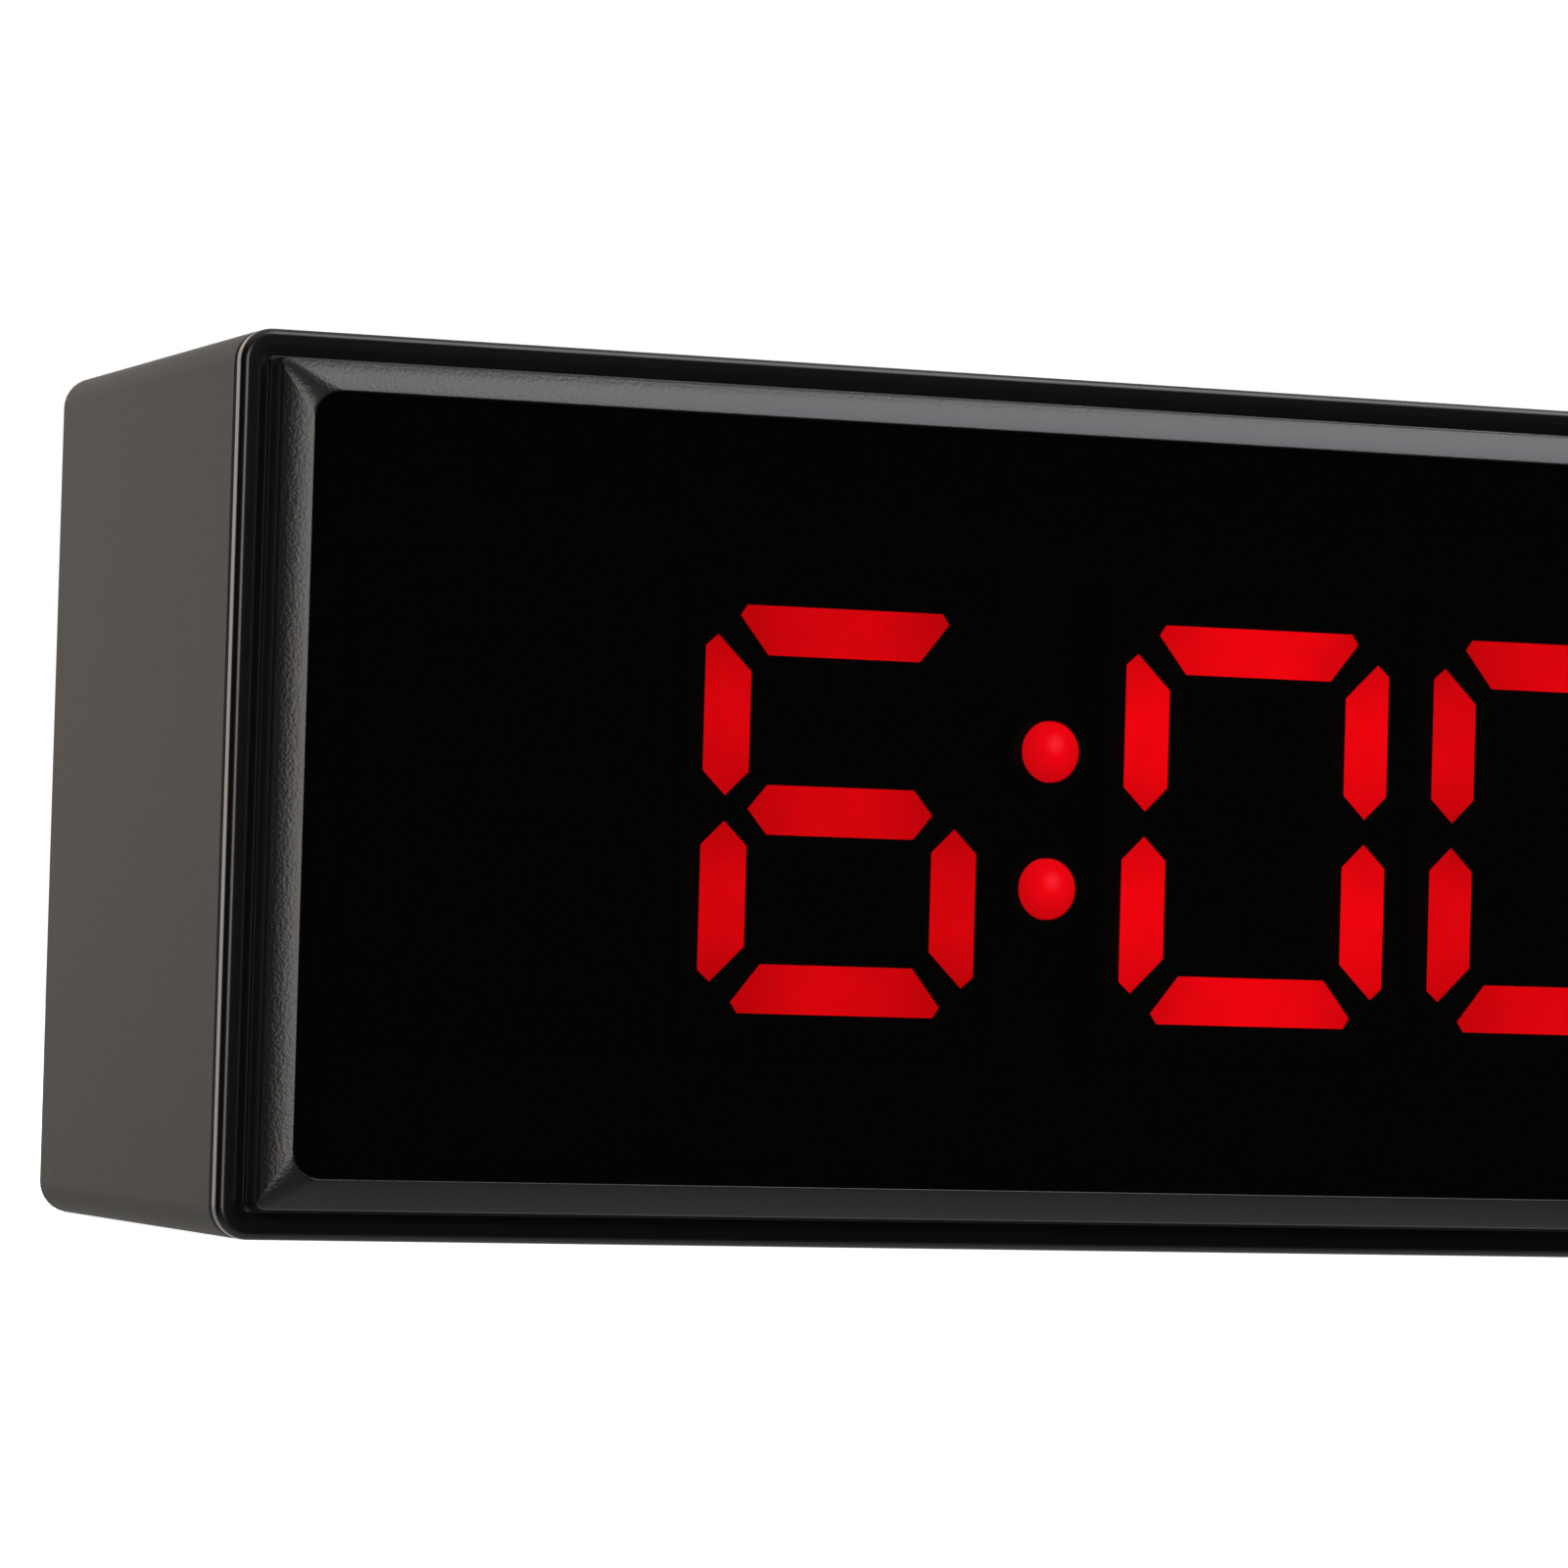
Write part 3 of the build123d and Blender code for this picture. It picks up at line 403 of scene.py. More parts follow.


# Flat cable of grey PVC: ridges over each conductor at 1.27 mm, with painted shade in the grooves between
# them and a painted highlight along their tops
def ribbonPvc():
    finish, tree, shader, place = newFinish("ribbonPvc", {"Roughness": 0.5, "Base Color": linear("#7d7f82")})
    ridgesAndGrooveShade = addNode(tree, "ShaderNodeTexWave", {"Vector": place, "Scale": 0.16 / (1.27 * mm)},
                     bands_direction="Z", wave_profile="SIN").outputs["Fac"]
    # The ridge pattern also sets the colour: painted shade in the grooves, painted highlight on the ridge
    # tops
    tree.links.new(mixTones(tree, ridgesAndGrooveShade, "#5b5d60", "#8d8f92"), shader.inputs["Base Color"])
    addRelief(tree, shader, ridgesAndGrooveShade, 0.8, 0.2)
    return finish


# Pressed paper cone: fibres and faint rings round the voice coil
def conePaper(centre):
    finish, tree, shader, place = newFinish("pressedPaper", {"Roughness": 0.85})
    centred = addNode(tree, "ShaderNodeMapping", {"Vector": place, "Location": tuple(-c for c in centre)})
    rings = addNode(tree, "ShaderNodeTexWave", {"Vector": centred.outputs[0], "Scale": 0.16 / (2.4 * mm)},
                    wave_type="RINGS", rings_direction="Y")
    tones = mixTones(tree, addNoise(tree, place, 1.2, 4.0), "#141413", "#2c2b29")
    tree.links.new(tones, shader.inputs["Base Color"])
    addRelief(tree, shader, rings.outputs["Fac"], 0.6, 0.3)
    return finish


# The smaller pieces, each two tones and a grain at the size of the real finish, in millimetres
finishLooks = {
    # adhesive foam, matt and open-celled
    "foamTape": {"dark": "#121212", "light": "#242424", "patch": 1.5, "grain": 0.4, "relief": 0.1,
                 "roughness": 0.95},
    # zinc-plated steel, bright with a faint yellow-blue cast and turning marks
    "zincPlatedSteel": {"dark": "#8f918f", "light": "#b4b4ac", "patch": 2.0, "grain": 0.25, "relief": 0.01,
                        "roughness": 0.32, "metallic": 1},
    # black oxide on steel, dull and slightly oily
    "blackOxideSteel": {"dark": "#1c1c1d", "light": "#343435", "patch": 1.5, "grain": 0.25, "relief": 0.015,
                        "roughness": 0.42, "metallic": 1},
    # turned brass inserts
    "turnedBrass": {"dark": "#a88545", "light": "#c7a35a", "patch": 1.5, "grain": 0.3, "relief": 0.02,
                    "roughness": 0.3, "metallic": 1},
    # matt black ABS inside, so that the tray doesn't show behind the window
    "mattBlackAbs": {"dark": "#060606", "light": "#0b0b0b", "patch": 8, "grain": 0.5, "relief": 0.02,
                     "roughness": 0.75, "specular": 0.3},
    # satin black ABS of the switch body and socket, smoother than the housing
    "satinBlackAbs": {"dark": "#0f0f10", "light": "#171718", "patch": 6, "grain": 0.4, "relief": 0.008,
                      "roughness": 0.36},
    # black ink over the digit's face
    "inkedDigitShell": {"dark": "#040404", "light": "#070707", "patch": 6, "grain": 0.3, "relief": 0.005,
                        "roughness": 0.65, "specular": 0.25},
    # unlit red epoxy, dark behind the smoked window
    "unlitRedEpoxy": {"dark": "#1c0305", "light": "#240407", "patch": 3, "grain": 0.4, "relief": 0.005,
                      "roughness": 0.45, "specular": 0.3},
    # moulded silicone rubber of the keys, soft and slightly dusty
    "siliconeRubber": {"dark": "#2e3033", "light": "#3a3c40", "patch": 3, "grain": 0.35, "relief": 0.02,
                       "roughness": 0.68},
    # nylon of the headers and switch bodies
    "blackNylon": {"dark": "#101010", "light": "#191919", "patch": 3, "grain": 0.3, "relief": 0.01,
                   "roughness": 0.5},
    # transfer-moulded epoxy of the chips
    "mouldedEpoxy": {"dark": "#131314", "light": "#1b1b1c", "patch": 1.5, "grain": 0.2, "relief": 0.01,
                     "roughness": 0.6},
    # tinned copper, bright and uneven
    "tinnedCopper": {"dark": "#a5a5a2", "light": "#cfcfca", "patch": 0.8, "grain": 0.3, "relief": 0.02,
                     "roughness": 0.28, "metallic": 1},
    # printed sleeve on the capacitors
    "sleevedCan": {"dark": "#15181f", "light": "#20252f", "patch": 4, "grain": 0.6, "relief": 0.01,
                   "roughness": 0.35},
    # black anodised extrusion
    "anodisedAluminium": {"dark": "#1d1d1f", "light": "#2b2b2e", "patch": 4, "grain": 0.2, "relief": 0.01,
                          "roughness": 0.4, "metallic": 1},
    # fired ferrite, grey and porous
    "firedFerrite": {"dark": "#26272a", "light": "#37383b", "patch": 1, "grain": 0.4, "relief": 0.05,
                     "roughness": 0.7},
    # red PVC wire covering
    "redPvc": {"dark": "#7a0f12", "light": "#93151a", "patch": 4, "grain": 0.5, "relief": 0.01,
               "roughness": 0.4},
}
finishes = {name: grainedFinish(name, look) for name, look in finishLooks.items()}
finishes["boardLaminate"] = boardLaminate()
finishes["ribbonPvc"] = ribbonPvc()
finishes["smokedAcrylic"] = smokedAcrylic()
coneLow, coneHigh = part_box("speaker_cone")
finishes["conePaper"] = conePaper((coneLow + coneHigh) / 2)
finishes["texturedAbs"] = texturedAbs()

nodeFinishes = {
    "window": "smokedAcrylic", "window_tape": "foamTape", "case_screws": "blackOxideSteel",
    "case_inserts": "turnedBrass", "display_frame": "mattBlackAbs", "display_board": "boardLaminate",
    "digit_pins": "tinnedCopper", "colon_spacers": "blackNylon", "ir_receiver": "mouldedEpoxy",
    "board_screws": "zincPlatedSteel", "driver_chips": "mouldedEpoxy", "display_header": "blackNylon",
    "ribbon_cable": "ribbonPvc", "control_header": "blackNylon", "control_board": "boardLaminate",
    "control_board_screws": "zincPlatedSteel", "controller_chip": "mouldedEpoxy",
    "capacitors": "sleevedCan", "regulator": "mouldedEpoxy", "heat_sink": "anodisedAluminium",
    "key_switches": "blackNylon", "volume_switch_body": "blackNylon", "rocker_tags": "tinnedCopper",
    "jack_nut": "blackNylon", "jack_tags": "tinnedCopper", "speaker_basket": "zincPlatedSteel",
    "speaker_magnet": "firedFerrite", "speaker_cone": "conePaper", "voice_coil": "tinnedCopper",
    "speaker_screws": "zincPlatedSteel", "speaker_leads": "redPvc",
}
keyNames = ("start", "reset", "round", "rest")
for number in (1, 2, 3, 4):
    nodeFinishes[f"digit_case_{number}"] = "inkedDigitShell"
for key in keyNames:
    nodeFinishes[f"{key}_plunger"] = "blackNylon"
for node, finishName in nodeFinishes.items():
    for materialSlot in nodes[node].material_slots:
        materialSlot.material = finishes[finishName]
print("finishes on the nodes that stay")


# Case

caseLow, caseHigh = boxMm("housing")
halfWidth = (caseHigh.x - caseLow.x) / 2
halfHeight = (caseHigh.z - caseLow.z) / 2
middleZ = (caseHigh.z + caseLow.z) / 2
housing = {
    "wall": 2.5, "cornerRadius": 4.6, "rearRadius": 1.8, "frontRadius": 0.4, "flare": 0.3,
    "keyholeSpacing": 160.0, "keyholeDrop": 32.0, "keyholeRadius": 4.5, "neck": 4.6, "keyholeRise": 9.0,
    "grilleRadius": 22.0, "grilleSlot": 2.2, "grillePitch": 4.8,
    "ventWidth": 2.2, "ventLength": 18.0, "ventPitch": 6.5, "ventCount": 7, "ventX": 76.0, "ventZ": 30.0,
    "postRadius": 4.0, "postFront": -36.0, "boreRadius": 1.7, "recessRadius": 3.3, "recess": 2.8,
    "screwHead": 2.8,
}
nearlyRound = 0.98  # share of half a width that a rounded end takes, so that no edge shrinks to nothing


def caseOutline(inset, radius, y):
    return halfWidth - inset, halfHeight - inset, radius, y


def sidePlace(node):
    # The point of the right side's outer face in the middle of a control
    low, high = boxMm(node)
    return caseHigh.x, (low.y + high.y) / 2, (low.z + high.z) / 2


def holeCutter(halfAcross, halfUp, radius, turn, place, depth):
    # A cutter that opens out a little at the face, which leaves the moulded edge of the hole
    flare = housing["flare"]
    wide = (halfAcross + flare, halfUp + flare, radius + flare)
    outlines = [(halfAcross, halfUp, radius, depth), (halfAcross, halfUp, radius, flare), (*wide, 0),
                (*wide, -1)]
    return loftOutlines("helper", outlines, cornerSteps=8, turn=turn, place=place)


def housingShell():
    front, rear = caseLow.y, caseHigh.y
    wall, corner = housing["wall"], housing["cornerRadius"]
    lead, back = housing["frontRadius"], housing["rearRadius"]
    outlines = [caseOutline(wall, corner - wall, rear - wall), caseOutline(wall, corner - wall, front)]
    for inset, y in roundOver((lead, front), (0, front), (0, front + lead), 4):
        outlines.append(caseOutline(inset, corner - inset, y))
    for inset, y in roundOver((0, rear - back), (0, rear), (back, rear), 6):
        outlines.append(caseOutline(inset, corner - inset, y))
    return loftOutlines("housingShell", outlines, place=(0, 0, middleZ))


def backCutters():
    depth, rear = housing["wall"] + 1, caseHigh.y
    cutters = []
    slot = housing["grilleSlot"] / 2
    rows = int(housing["grilleRadius"] // housing["grillePitch"])
    for row in range(-rows, rows + 1):
        offset = row * housing["grillePitch"]
        reach = (housing["grilleRadius"] ** 2 - offset ** 2) ** 0.5
        cutters.append(holeCutter(reach, slot, slot * nearlyRound, 180, (0, rear, middleZ + offset), depth))
    vent = housing["ventWidth"] / 2
    first = holeCutter(vent, housing["ventLength"] / 2, vent * nearlyRound, 180,
                       (0, rear, housing["ventZ"]), depth)
    for side in (-1, 1):
        for i in range(housing["ventCount"]):
            x = side * housing["ventX"] + (i - (housing["ventCount"] - 1) / 2) * housing["ventPitch"]
            cutters.append(copyShape(first, (x, 0, 0)))
    bpy.data.objects.remove(first)
    keyhole = housing["keyholeRadius"]
    keyholeZ = caseHigh.z - housing["keyholeDrop"]
    for side in (-1, 1):
        x = side * housing["keyholeSpacing"] / 2
        cutters.append(holeCutter(keyhole, keyhole, keyhole * nearlyRound, 180, (x, rear, keyholeZ), depth))
    return cutters


def neckCutters():
    neck = housing["neck"] / 2
    keyholeZ = caseHigh.z - housing["keyholeDrop"]
    halfUp = (housing["keyholeRise"] + neck) / 2
    cutters = []
    for side in (-1, 1):
        place = (side * housing["keyholeSpacing"] / 2, caseHigh.y, keyholeZ + halfUp)
        cutters.append(holeCutter(neck, halfUp, neck * nearlyRound, 180, place, housing["wall"] + 1))
    return cutters


def screwPlaces():
    low, high = boxMm("case_screws")
    head = housing["screwHead"]
    return [(x, z) for x in (low.x + head, high.x - head) for z in (low.z + head, high.z - head)]


def boreCutters():
    rear, recess = caseHigh.y, housing["recess"]
    bore, wide, flare = housing["boreRadius"], housing["recessRadius"], housing["flare"]
    profile = [(0, housing["postFront"] - 1), (bore, housing["postFront"] - 1), (bore, rear - recess),
               (wide, rear - recess), (wide, rear - flare), (wide + flare, rear), (wide + flare, rear + 1),
               (0, rear + 1)]
    first = turnProfile("helper", profile, steps=36)
    cutters = [copyShape(first, (x, 0, z)) for x, z in screwPlaces()]
    bpy.data.objects.remove(first)
    return cutters


def cornerPosts():
    radius = housing["postRadius"]
    profile = [(0, housing["postFront"]), (radius, housing["postFront"]), (radius, caseHigh.y - 1),
               (0, caseHigh.y - 1)]
    first = turnProfile("helper", profile, steps=36)
    posts = [copyShape(first, (x, 0, z)) for x, z in screwPlaces()]
    bpy.data.objects.remove(first)
    return posts


def sideCutters():
    depth = housing["wall"] + 1
    cutters = []
    for key in keyNames:
        low, high = boxMm(f"{key}_button")
        radius = (high.z - low.z) / 2 - button["flangeWidth"] + button["clearance"]
        place = sidePlace(f"{key}_button")
        cutters.append(holeCutter(radius, radius, radius * nearlyRound, 90, place, depth))
    low, high = boxMm("volume_slider")
    slack = slider["slack"]
    across, along = (high.y - low.y) / 2 + slack, (high.z - low.z) / 2 + slider["travel"] + slack
    cutters.append(holeCutter(across, along, slack, 90, sidePlace("volume_slider"), depth))
    cutters.append(holeCutter(switch["shellAcross"], switch["shellAlong"], switch["wellRadius"], 90,
                              sidePlace("rocker_body"), depth))
    opening = socket["barrel"] + socket["clearance"]
    cutters.append(holeCutter(opening, opening, socket["barrel"], 90, sidePlace("jack_body"), depth))
    return cutters


# Sizes of the controls, which also set their openings in the side of the case
button = {"flangeWidth": 1.4, "flange": 1.5, "clearance": 0.25, "edge": 0.7, "dish": 0.55, "stem": 2.0,
          "seat": 0.1, "dishBorder": 0.3}
slider = {"travel": 2.0, "ribs": 4, "groove": 0.35, "slack": 0.4}
switch = {"shellAcross": 6.75, "shellAlong": 9.85, "shellRadius": 0.5, "slip": 0.15, "wellAcross": 5.3,
          "wellAlong": 8.4, "wellRadius": 0.4, "mouth": 0.25, "mouthRadius": 0.6, "radius": 1.2,
          "chamfer": 0.5, "floor": 9.2, "flange": 1.8}
socket = {"barrel": 5.4, "clearance": 0.15, "flange": 1.8, "edge": 0.6, "bore": 2.8, "boreDepth": 10.5,
          "chamfer": 0.4}

shell = housingShell()
applyBoolean(shell, cornerPosts(), "UNION")
applyBoolean(shell, backCutters() + boreCutters() + sideCutters(), "DIFFERENCE")
applyBoolean(shell, neckCutters(), "DIFFERENCE")
settle(shell, finishes["texturedAbs"], "housing_abs", "case", "housing")
print("housing moulded with its slots, keyholes and side openings")


# Bezel: one section lofted right round, with corner radii that open out from ridge to window

bezel = {"reveal": 1.2, "rimPlate": 2.4, "rimRadius": 1.1, "rimFlat": 2.5, "valley": 1.5, "valleyDepth": 0.5,
         "valleyEase": 2.0, "footRadius": 0.3, "step": 4.3, "draft": 3.0, "ridgeRadius": 0.9, "crown": 0.16,
         "ridgeCorner": 1.2, "border": 8.6, "rise": 6.5, "lipRadius": 0.1, "openingRadius": 4.0,
         "lipBack": 3.2, "pocket": 5.45, "pocketRadius": 1.0, "spigot": 2.65, "spigotWall": 1.5,
         "spigotEnd": -36.0}
crownShares = (0.25, 0.32, 0.4, 0.5, 0.6, 0.7, 0.8, 0.9)
frontY = caseLow.y - bezel["reveal"] - bezel["rimPlate"]


def easedCorner(before, corner, after, radius, steps):
    # Points of the rounding of that radius at a profile corner
    back = (Vector(before) - Vector(corner)).normalized()
    ahead = (Vector(after) - Vector(corner)).normalized()
    half = back.angle(ahead) / 2
    centre = Vector(corner) + (back + ahead).normalized() * (radius / math.sin(half))
    start = Vector(corner) + back * (radius / math.tan(half)) - centre
    end = Vector(corner) + ahead * (radius / math.tan(half)) - centre
    sweep = start.angle(end)
    points = []
    for i in range(steps + 1):
        t = i / steps
        spoke = (start * math.sin((1 - t) * sweep) + end * math.sin(t * sweep)) / math.sin(sweep)
        points.append(tuple(centre + spoke))
    return points


def bezelSection():
    # (inset from the case edge, height off the rim): outside from the seam, over the front, back inside.
    # The valley is one slope from the rim to the ridge's foot
    b = bezel
    seam = -b["rimPlate"]
    ridge = b["rimFlat"] + b["valley"]
    lean = (b["step"] + b["valleyDepth"]) * math.tan(math.radians(b["draft"]))
    foot, ridgeTop, lip = (ridge, -b["valleyDepth"]), (ridge + lean, b["step"]), (b["border"], b["rise"])
    section = [(0.0, seam)]
    section += easedCorner((0, seam), (0, 0), (b["rimFlat"], 0), b["rimRadius"], 6)
    section += easedCorner((0, 0), (b["rimFlat"], 0), foot, b["valleyEase"], 4)
    section += easedCorner((b["rimFlat"], 0), foot, ridgeTop, b["footRadius"], 3)
    # The bevel is slightly crowned between the ridge and the lip
    run = Vector(lip) - Vector(ridgeTop)
    proud = Vector((-run.y, run.x)).normalized() * b["crown"] * 4
    crown = [tuple(Vector(ridgeTop) + run * t + proud * t * (1 - t)) for t in crownShares]
    section += easedCorner(foot, ridgeTop, crown[0], b["ridgeRadius"], 6) + crown
    section += easedCorner(crown[-1], lip, (b["border"], 0), b["lipRadius"], 3)
    section += [(b["border"], b["lipBack"]), (b["pocket"], b["lipBack"]), (b["pocket"], seam)]
    inner = b["spigot"] + b["spigotWall"]
    section += [(inner, seam), (inner, frontY - b["spigotEnd"]), (b["spigot"], frontY - b["spigotEnd"]),
                (b["spigot"], seam)]
    return section


def cornerRadiusAt(inset, height):
    # The rim follows the case corner; the raised border opens out from the ridge to the window
    b = bezel
    ridge = b["rimFlat"] + b["valley"]
    if inset <= ridge + 0.01 and height <= 0.01 or height < -b["rimPlate"] - 0.01:
        return max(housing["cornerRadius"] - inset, 0.5)
    if height < b["lipBack"] + 0.01 and inset < b["border"] - 0.1 and inset > ridge + 1.2:
        return b["pocketRadius"]
    share = min(max((inset - ridge) / (b["border"] - ridge), 0), 1)
    return b["ridgeCorner"] + share * (b["openingRadius"] - b["ridgeCorner"])


bezelOutlines = [caseOutline(inset, cornerRadiusAt(inset, height), frontY - height)
                 for inset, height in bezelSection()]
border = loftOutlines("bezelBorder", bezelOutlines, cornerSteps=10, loop=True, place=(0, 0, middleZ))
settle(border, bezelAbs(frontY, bezel["step"]), "bezel_abs", "case", "front_bezel", smooth=28)
print("bezel lofted")


# Digits: each bar is cut from a flat, given its depth and copied to the four places

digit = {"stroke": 6.9, "gap": 3.4, "barTip": 1.6, "barBevel": (1.0, 1.5), "uprightBevel": (1.85, 1.65),
         "uprightFoot": 1.75, "centreTip": 3.4, "centreSlope": 2.85, "edge": 0.15}
litBars = {1: "", 2: "acdefg", 3: "abcdef", 4: "abcdef"}
barGlow = {2: 4.9, 3: 6.3, 4: 5.3}
glowFall = 0.28


def barOutlines(across, up):
    # Convex outlines of the seven bars round the digit's middle
    half, mitre = digit["stroke"] / 2, digit["gap"] / 2 ** 0.5
    across, up = across - half, up - half
    tip, (run, fall) = across - digit["barTip"], digit["barBevel"]
    bar = [(tip - run, half), (tip, half - fall), (across - mitre - half, -half)]
    bar += [(-x, z) for x, z in reversed(bar)]
    run, fall = digit["uprightBevel"]
    top, foot = up - mitre + half - run, digit["uprightFoot"]
    upright = [(-half, top - fall), (run - half, top), (half, up - mitre - half), (half, foot + half),
               (0, foot), (-half, foot + half)]
    reach = across - digit["centreTip"]
    shoulder = reach - digit["centreSlope"]
    centre = [(reach, 0), (shoulder, half), (-shoulder, half), (-reach, 0), (-shoulder, -half),
              (shoulder, -half)]
    outlines = {"a": [(x, z + up) for x, z in bar], "d": [(x, -z - up) for x, z in bar], "g": centre}
    for name, side, sign in (("f", -1, 1), ("b", 1, 1), ("e", -1, -1), ("c", 1, -1)):
        outlines[name] = [(side * (across - x), sign * z) for x, z in upright]
    return outlines


def makeBar(outline, depth):
    # A flat, cut along each slanting line of the outline, then given its depth and a soft front edge
    low = Vector((min(x for x, z in outline), 0, min(z for x, z in outline)))
    high = Vector((max(x for x, z in outline), 0, max(z for x, z in outline)))
    size, middle = high - low, (low + high) / 2
    startFresh()
    bpy.ops.mesh.primitive_plane_add(size=1, rotation=(math.pi / 2, 0, 0))
    bar = bpy.context.object
    bpy.ops.object.transform_apply(location=True, rotation=True, scale=True)
    bpy.ops.object.mode_set(mode="EDIT")
    bpy.ops.mesh.select_mode(type="VERT")
    bpy.ops.mesh.select_all(action="SELECT")
    bpy.ops.transform.resize(value=(size.x, 1, size.z))
    bpy.ops.transform.translate(value=middle)
    for (x, z), (nextX, nextZ) in zip(outline, outline[1:] + outline[:1]):
        if abs(nextX - x) > 0.01 and abs(nextZ - z) > 0.01:
            outward = Vector((nextZ - z, 0, x - nextX)).normalized()
            if outward.dot(Vector((x, 0, z)) - middle) < 0:
                outward.negate()
            bpy.ops.mesh.select_all(action="SELECT")
            bpy.ops.mesh.bisect(plane_co=(x, 0, z), plane_no=outward, clear_outer=True, threshold=0.0001)
    bpy.ops.mesh.select_all(action="SELECT")
    bpy.ops.mesh.extrude_region_move(TRANSFORM_OT_translate={"value": (0, depth, 0)})
    bpy.ops.mesh.select_all(action="SELECT")
    bpy.ops.mesh.normals_make_consistent(inside=False)
    editPart(bar, "FACE", lambda centre, normal: normal.y < -0.9)
    bpy.ops.mesh.bevel(offset=digit["edge"], segments=2, affect="EDGES")
    bpy.ops.object.mode_set(mode="OBJECT")
    along = bar.data.uv_layers[0] if bar.data.uv_layers else bar.data.uv_layers.new(name="along")
    for corner in bar.data.loops:
        point = bar.data.vertices[corner.vertex_index].co - middle
        x, z = point.x / size.x + 0.5, point.z / size.z + 0.5
        along.data[corner.index].uv = (x, z) if size.x > size.z else (z, x)
    return bar


low, high = boxMm("digit_segments_2")
barShapes = barOutlines((high.x - low.x) / 2, (high.z - low.z) / 2)
bars = {name: makeBar(outline, high.y - low.y) for name, outline in barShapes.items()}
for number, lit in litBars.items():
    node = f"digit_segments_{number}"
    low, high = boxMm(node)
    shift = ((low.x + high.x) / 2, low.y, (low.z + high.z) / 2)
    litShapes = [copyShape(bars[name], shift) for name in bars if name in lit]
    darkShapes = [copyShape(bars[name], shift) for name in bars if name not in lit]
    if litShapes:
        glow = litEpoxy(f"litRedEpoxy{number}", barGlow[number], glowFall)
        settle(joinShapes(litShapes, f"litBars_{number}"), glow, "red_lens", "case", node, smooth=50)
    if darkShapes:
        settle(joinShapes(darkShapes, f"darkBars_{number}"), finishes["unlitRedEpoxy"], "red_lens", "case",
               node, smooth=50)
for bar in bars.values():
    bpy.data.objects.remove(bar)
print("digits cut and lit")


# Colon lamps

lamp = {"flange": 0.7, "flangeLength": 1.0, "dome": 0.6, "strength": 5.4}


def makeLamps():
    # Low domed faces, level with the digits, on a barrel with a flange at its foot
    low, high = boxMm("colon_leds")
    flange = (high.x - low.x) / 2
    radius, rise = flange - lamp["flange"], lamp["dome"]
    length = high.y - low.y
    profile = [(radius * i / 8, rise * (i / 8) ** 2) for i in range(9)]
    profile += [(radius, length - lamp["flangeLength"]), (flange, length - lamp["flangeLength"]),
                (flange, length), (0, length)]
    first = turnProfile("helper", profile)
    flat = first.data.uv_layers[0] if first.data.uv_layers else first.data.uv_layers.new(name="round")
    for corner in first.data.loops:
        point = first.data.vertices[corner.vertex_index].co
        flat.data[corner.index].uv = (point.x / (2 * radius) + 0.5, point.z / (2 * radius) + 0.5)
    places = [(low.x + flange, low.y, z) for z in (low.z + flange, high.z - flange)]
    lamps = [copyShape(first, place) for place in places]
    bpy.data.objects.remove(first)
    return joinShapes(lamps, "colonLamps")


settle(makeLamps(), lampEpoxy(), "red_lens", "case", "colon_leds")
print("colon lamps turned")


# Keys

def makeButton(key):
    low, high = boxMm(f"{key}_button")
    flange = (high.z - low.z) / 2
    radius = flange - button["flangeWidth"]
    top = high.x - caseHigh.x
    under = -housing["wall"] - button["seat"]
    profile = [(0, high.x - low.x - top), (button["stem"], high.x - low.x - top),
               (button["stem"], -under + button["flange"]), (flange, -under + button["flange"]),
               (flange, -under), (radius, -under)]
    profile += easedCorner((radius, -under), (radius, -top), (0, -top), button["edge"], 5)
    inner = radius - button["edge"] - button["dishBorder"]
    for i in range(1, 6):
        spread = inner * (1 - i / 5)
        profile.append((spread, -top + button["dish"] * (1 - (spread / inner) ** 2)))
    return turnProfile(f"{key}Key", profile, steps=56, turn=90, place=sidePlace(f"{key}_button"))


for key in keyNames:
    settle(makeButton(key), finishes["siliconeRubber"], "button_rubber", f"{key}_key", f"{key}_button")


def makeSlider():
    # A small knob with cross grooves for the fingertip
    low, high = boxMm("volume_slider")
    startFresh()
    bpy.ops.mesh.primitive_cube_add(size=1, location=(low + high) / 2)
    knob = bpy.context.object
    knob.name = "volumeKnob"
    bpy.ops.object.transform_apply(location=True, rotation=True, scale=True)
    bpy.ops.object.mode_set(mode="EDIT")
    bpy.ops.mesh.select_all(action="SELECT")
    bpy.ops.transform.resize(value=tuple(high - low), center_override=(low + high) / 2)
    steps = 2 * slider["ribs"] + 1
    pitch = (high.z - low.z) / steps
    for i in range(1, steps):
        bpy.ops.mesh.select_all(action="SELECT")
        bpy.ops.mesh.bisect(plane_co=(0, 0, low.z + i * pitch), plane_no=(0, 0, 1), threshold=0.0001)
    odd = [low.z + (i + 0.5) * pitch for i in range(1, steps, 2)]
    editPart(knob, "FACE",
             lambda centre, normal: normal.x > 0.9 and min(abs(centre.z - z) for z in odd) < 0.01)
    bpy.ops.mesh.extrude_region_move(TRANSFORM_OT_translate={"value": (-slider["groove"], 0, 0)})
    bpy.ops.mesh.select_all(action="SELECT")
    bpy.ops.mesh.normals_make_consistent(inside=False)
    bpy.ops.object.mode_set(mode="OBJECT")
    return knob


settle(makeSlider(), finishes["siliconeRubber"], "button_rubber", "volume_slide", "volume_slider")


# Power switch and socket

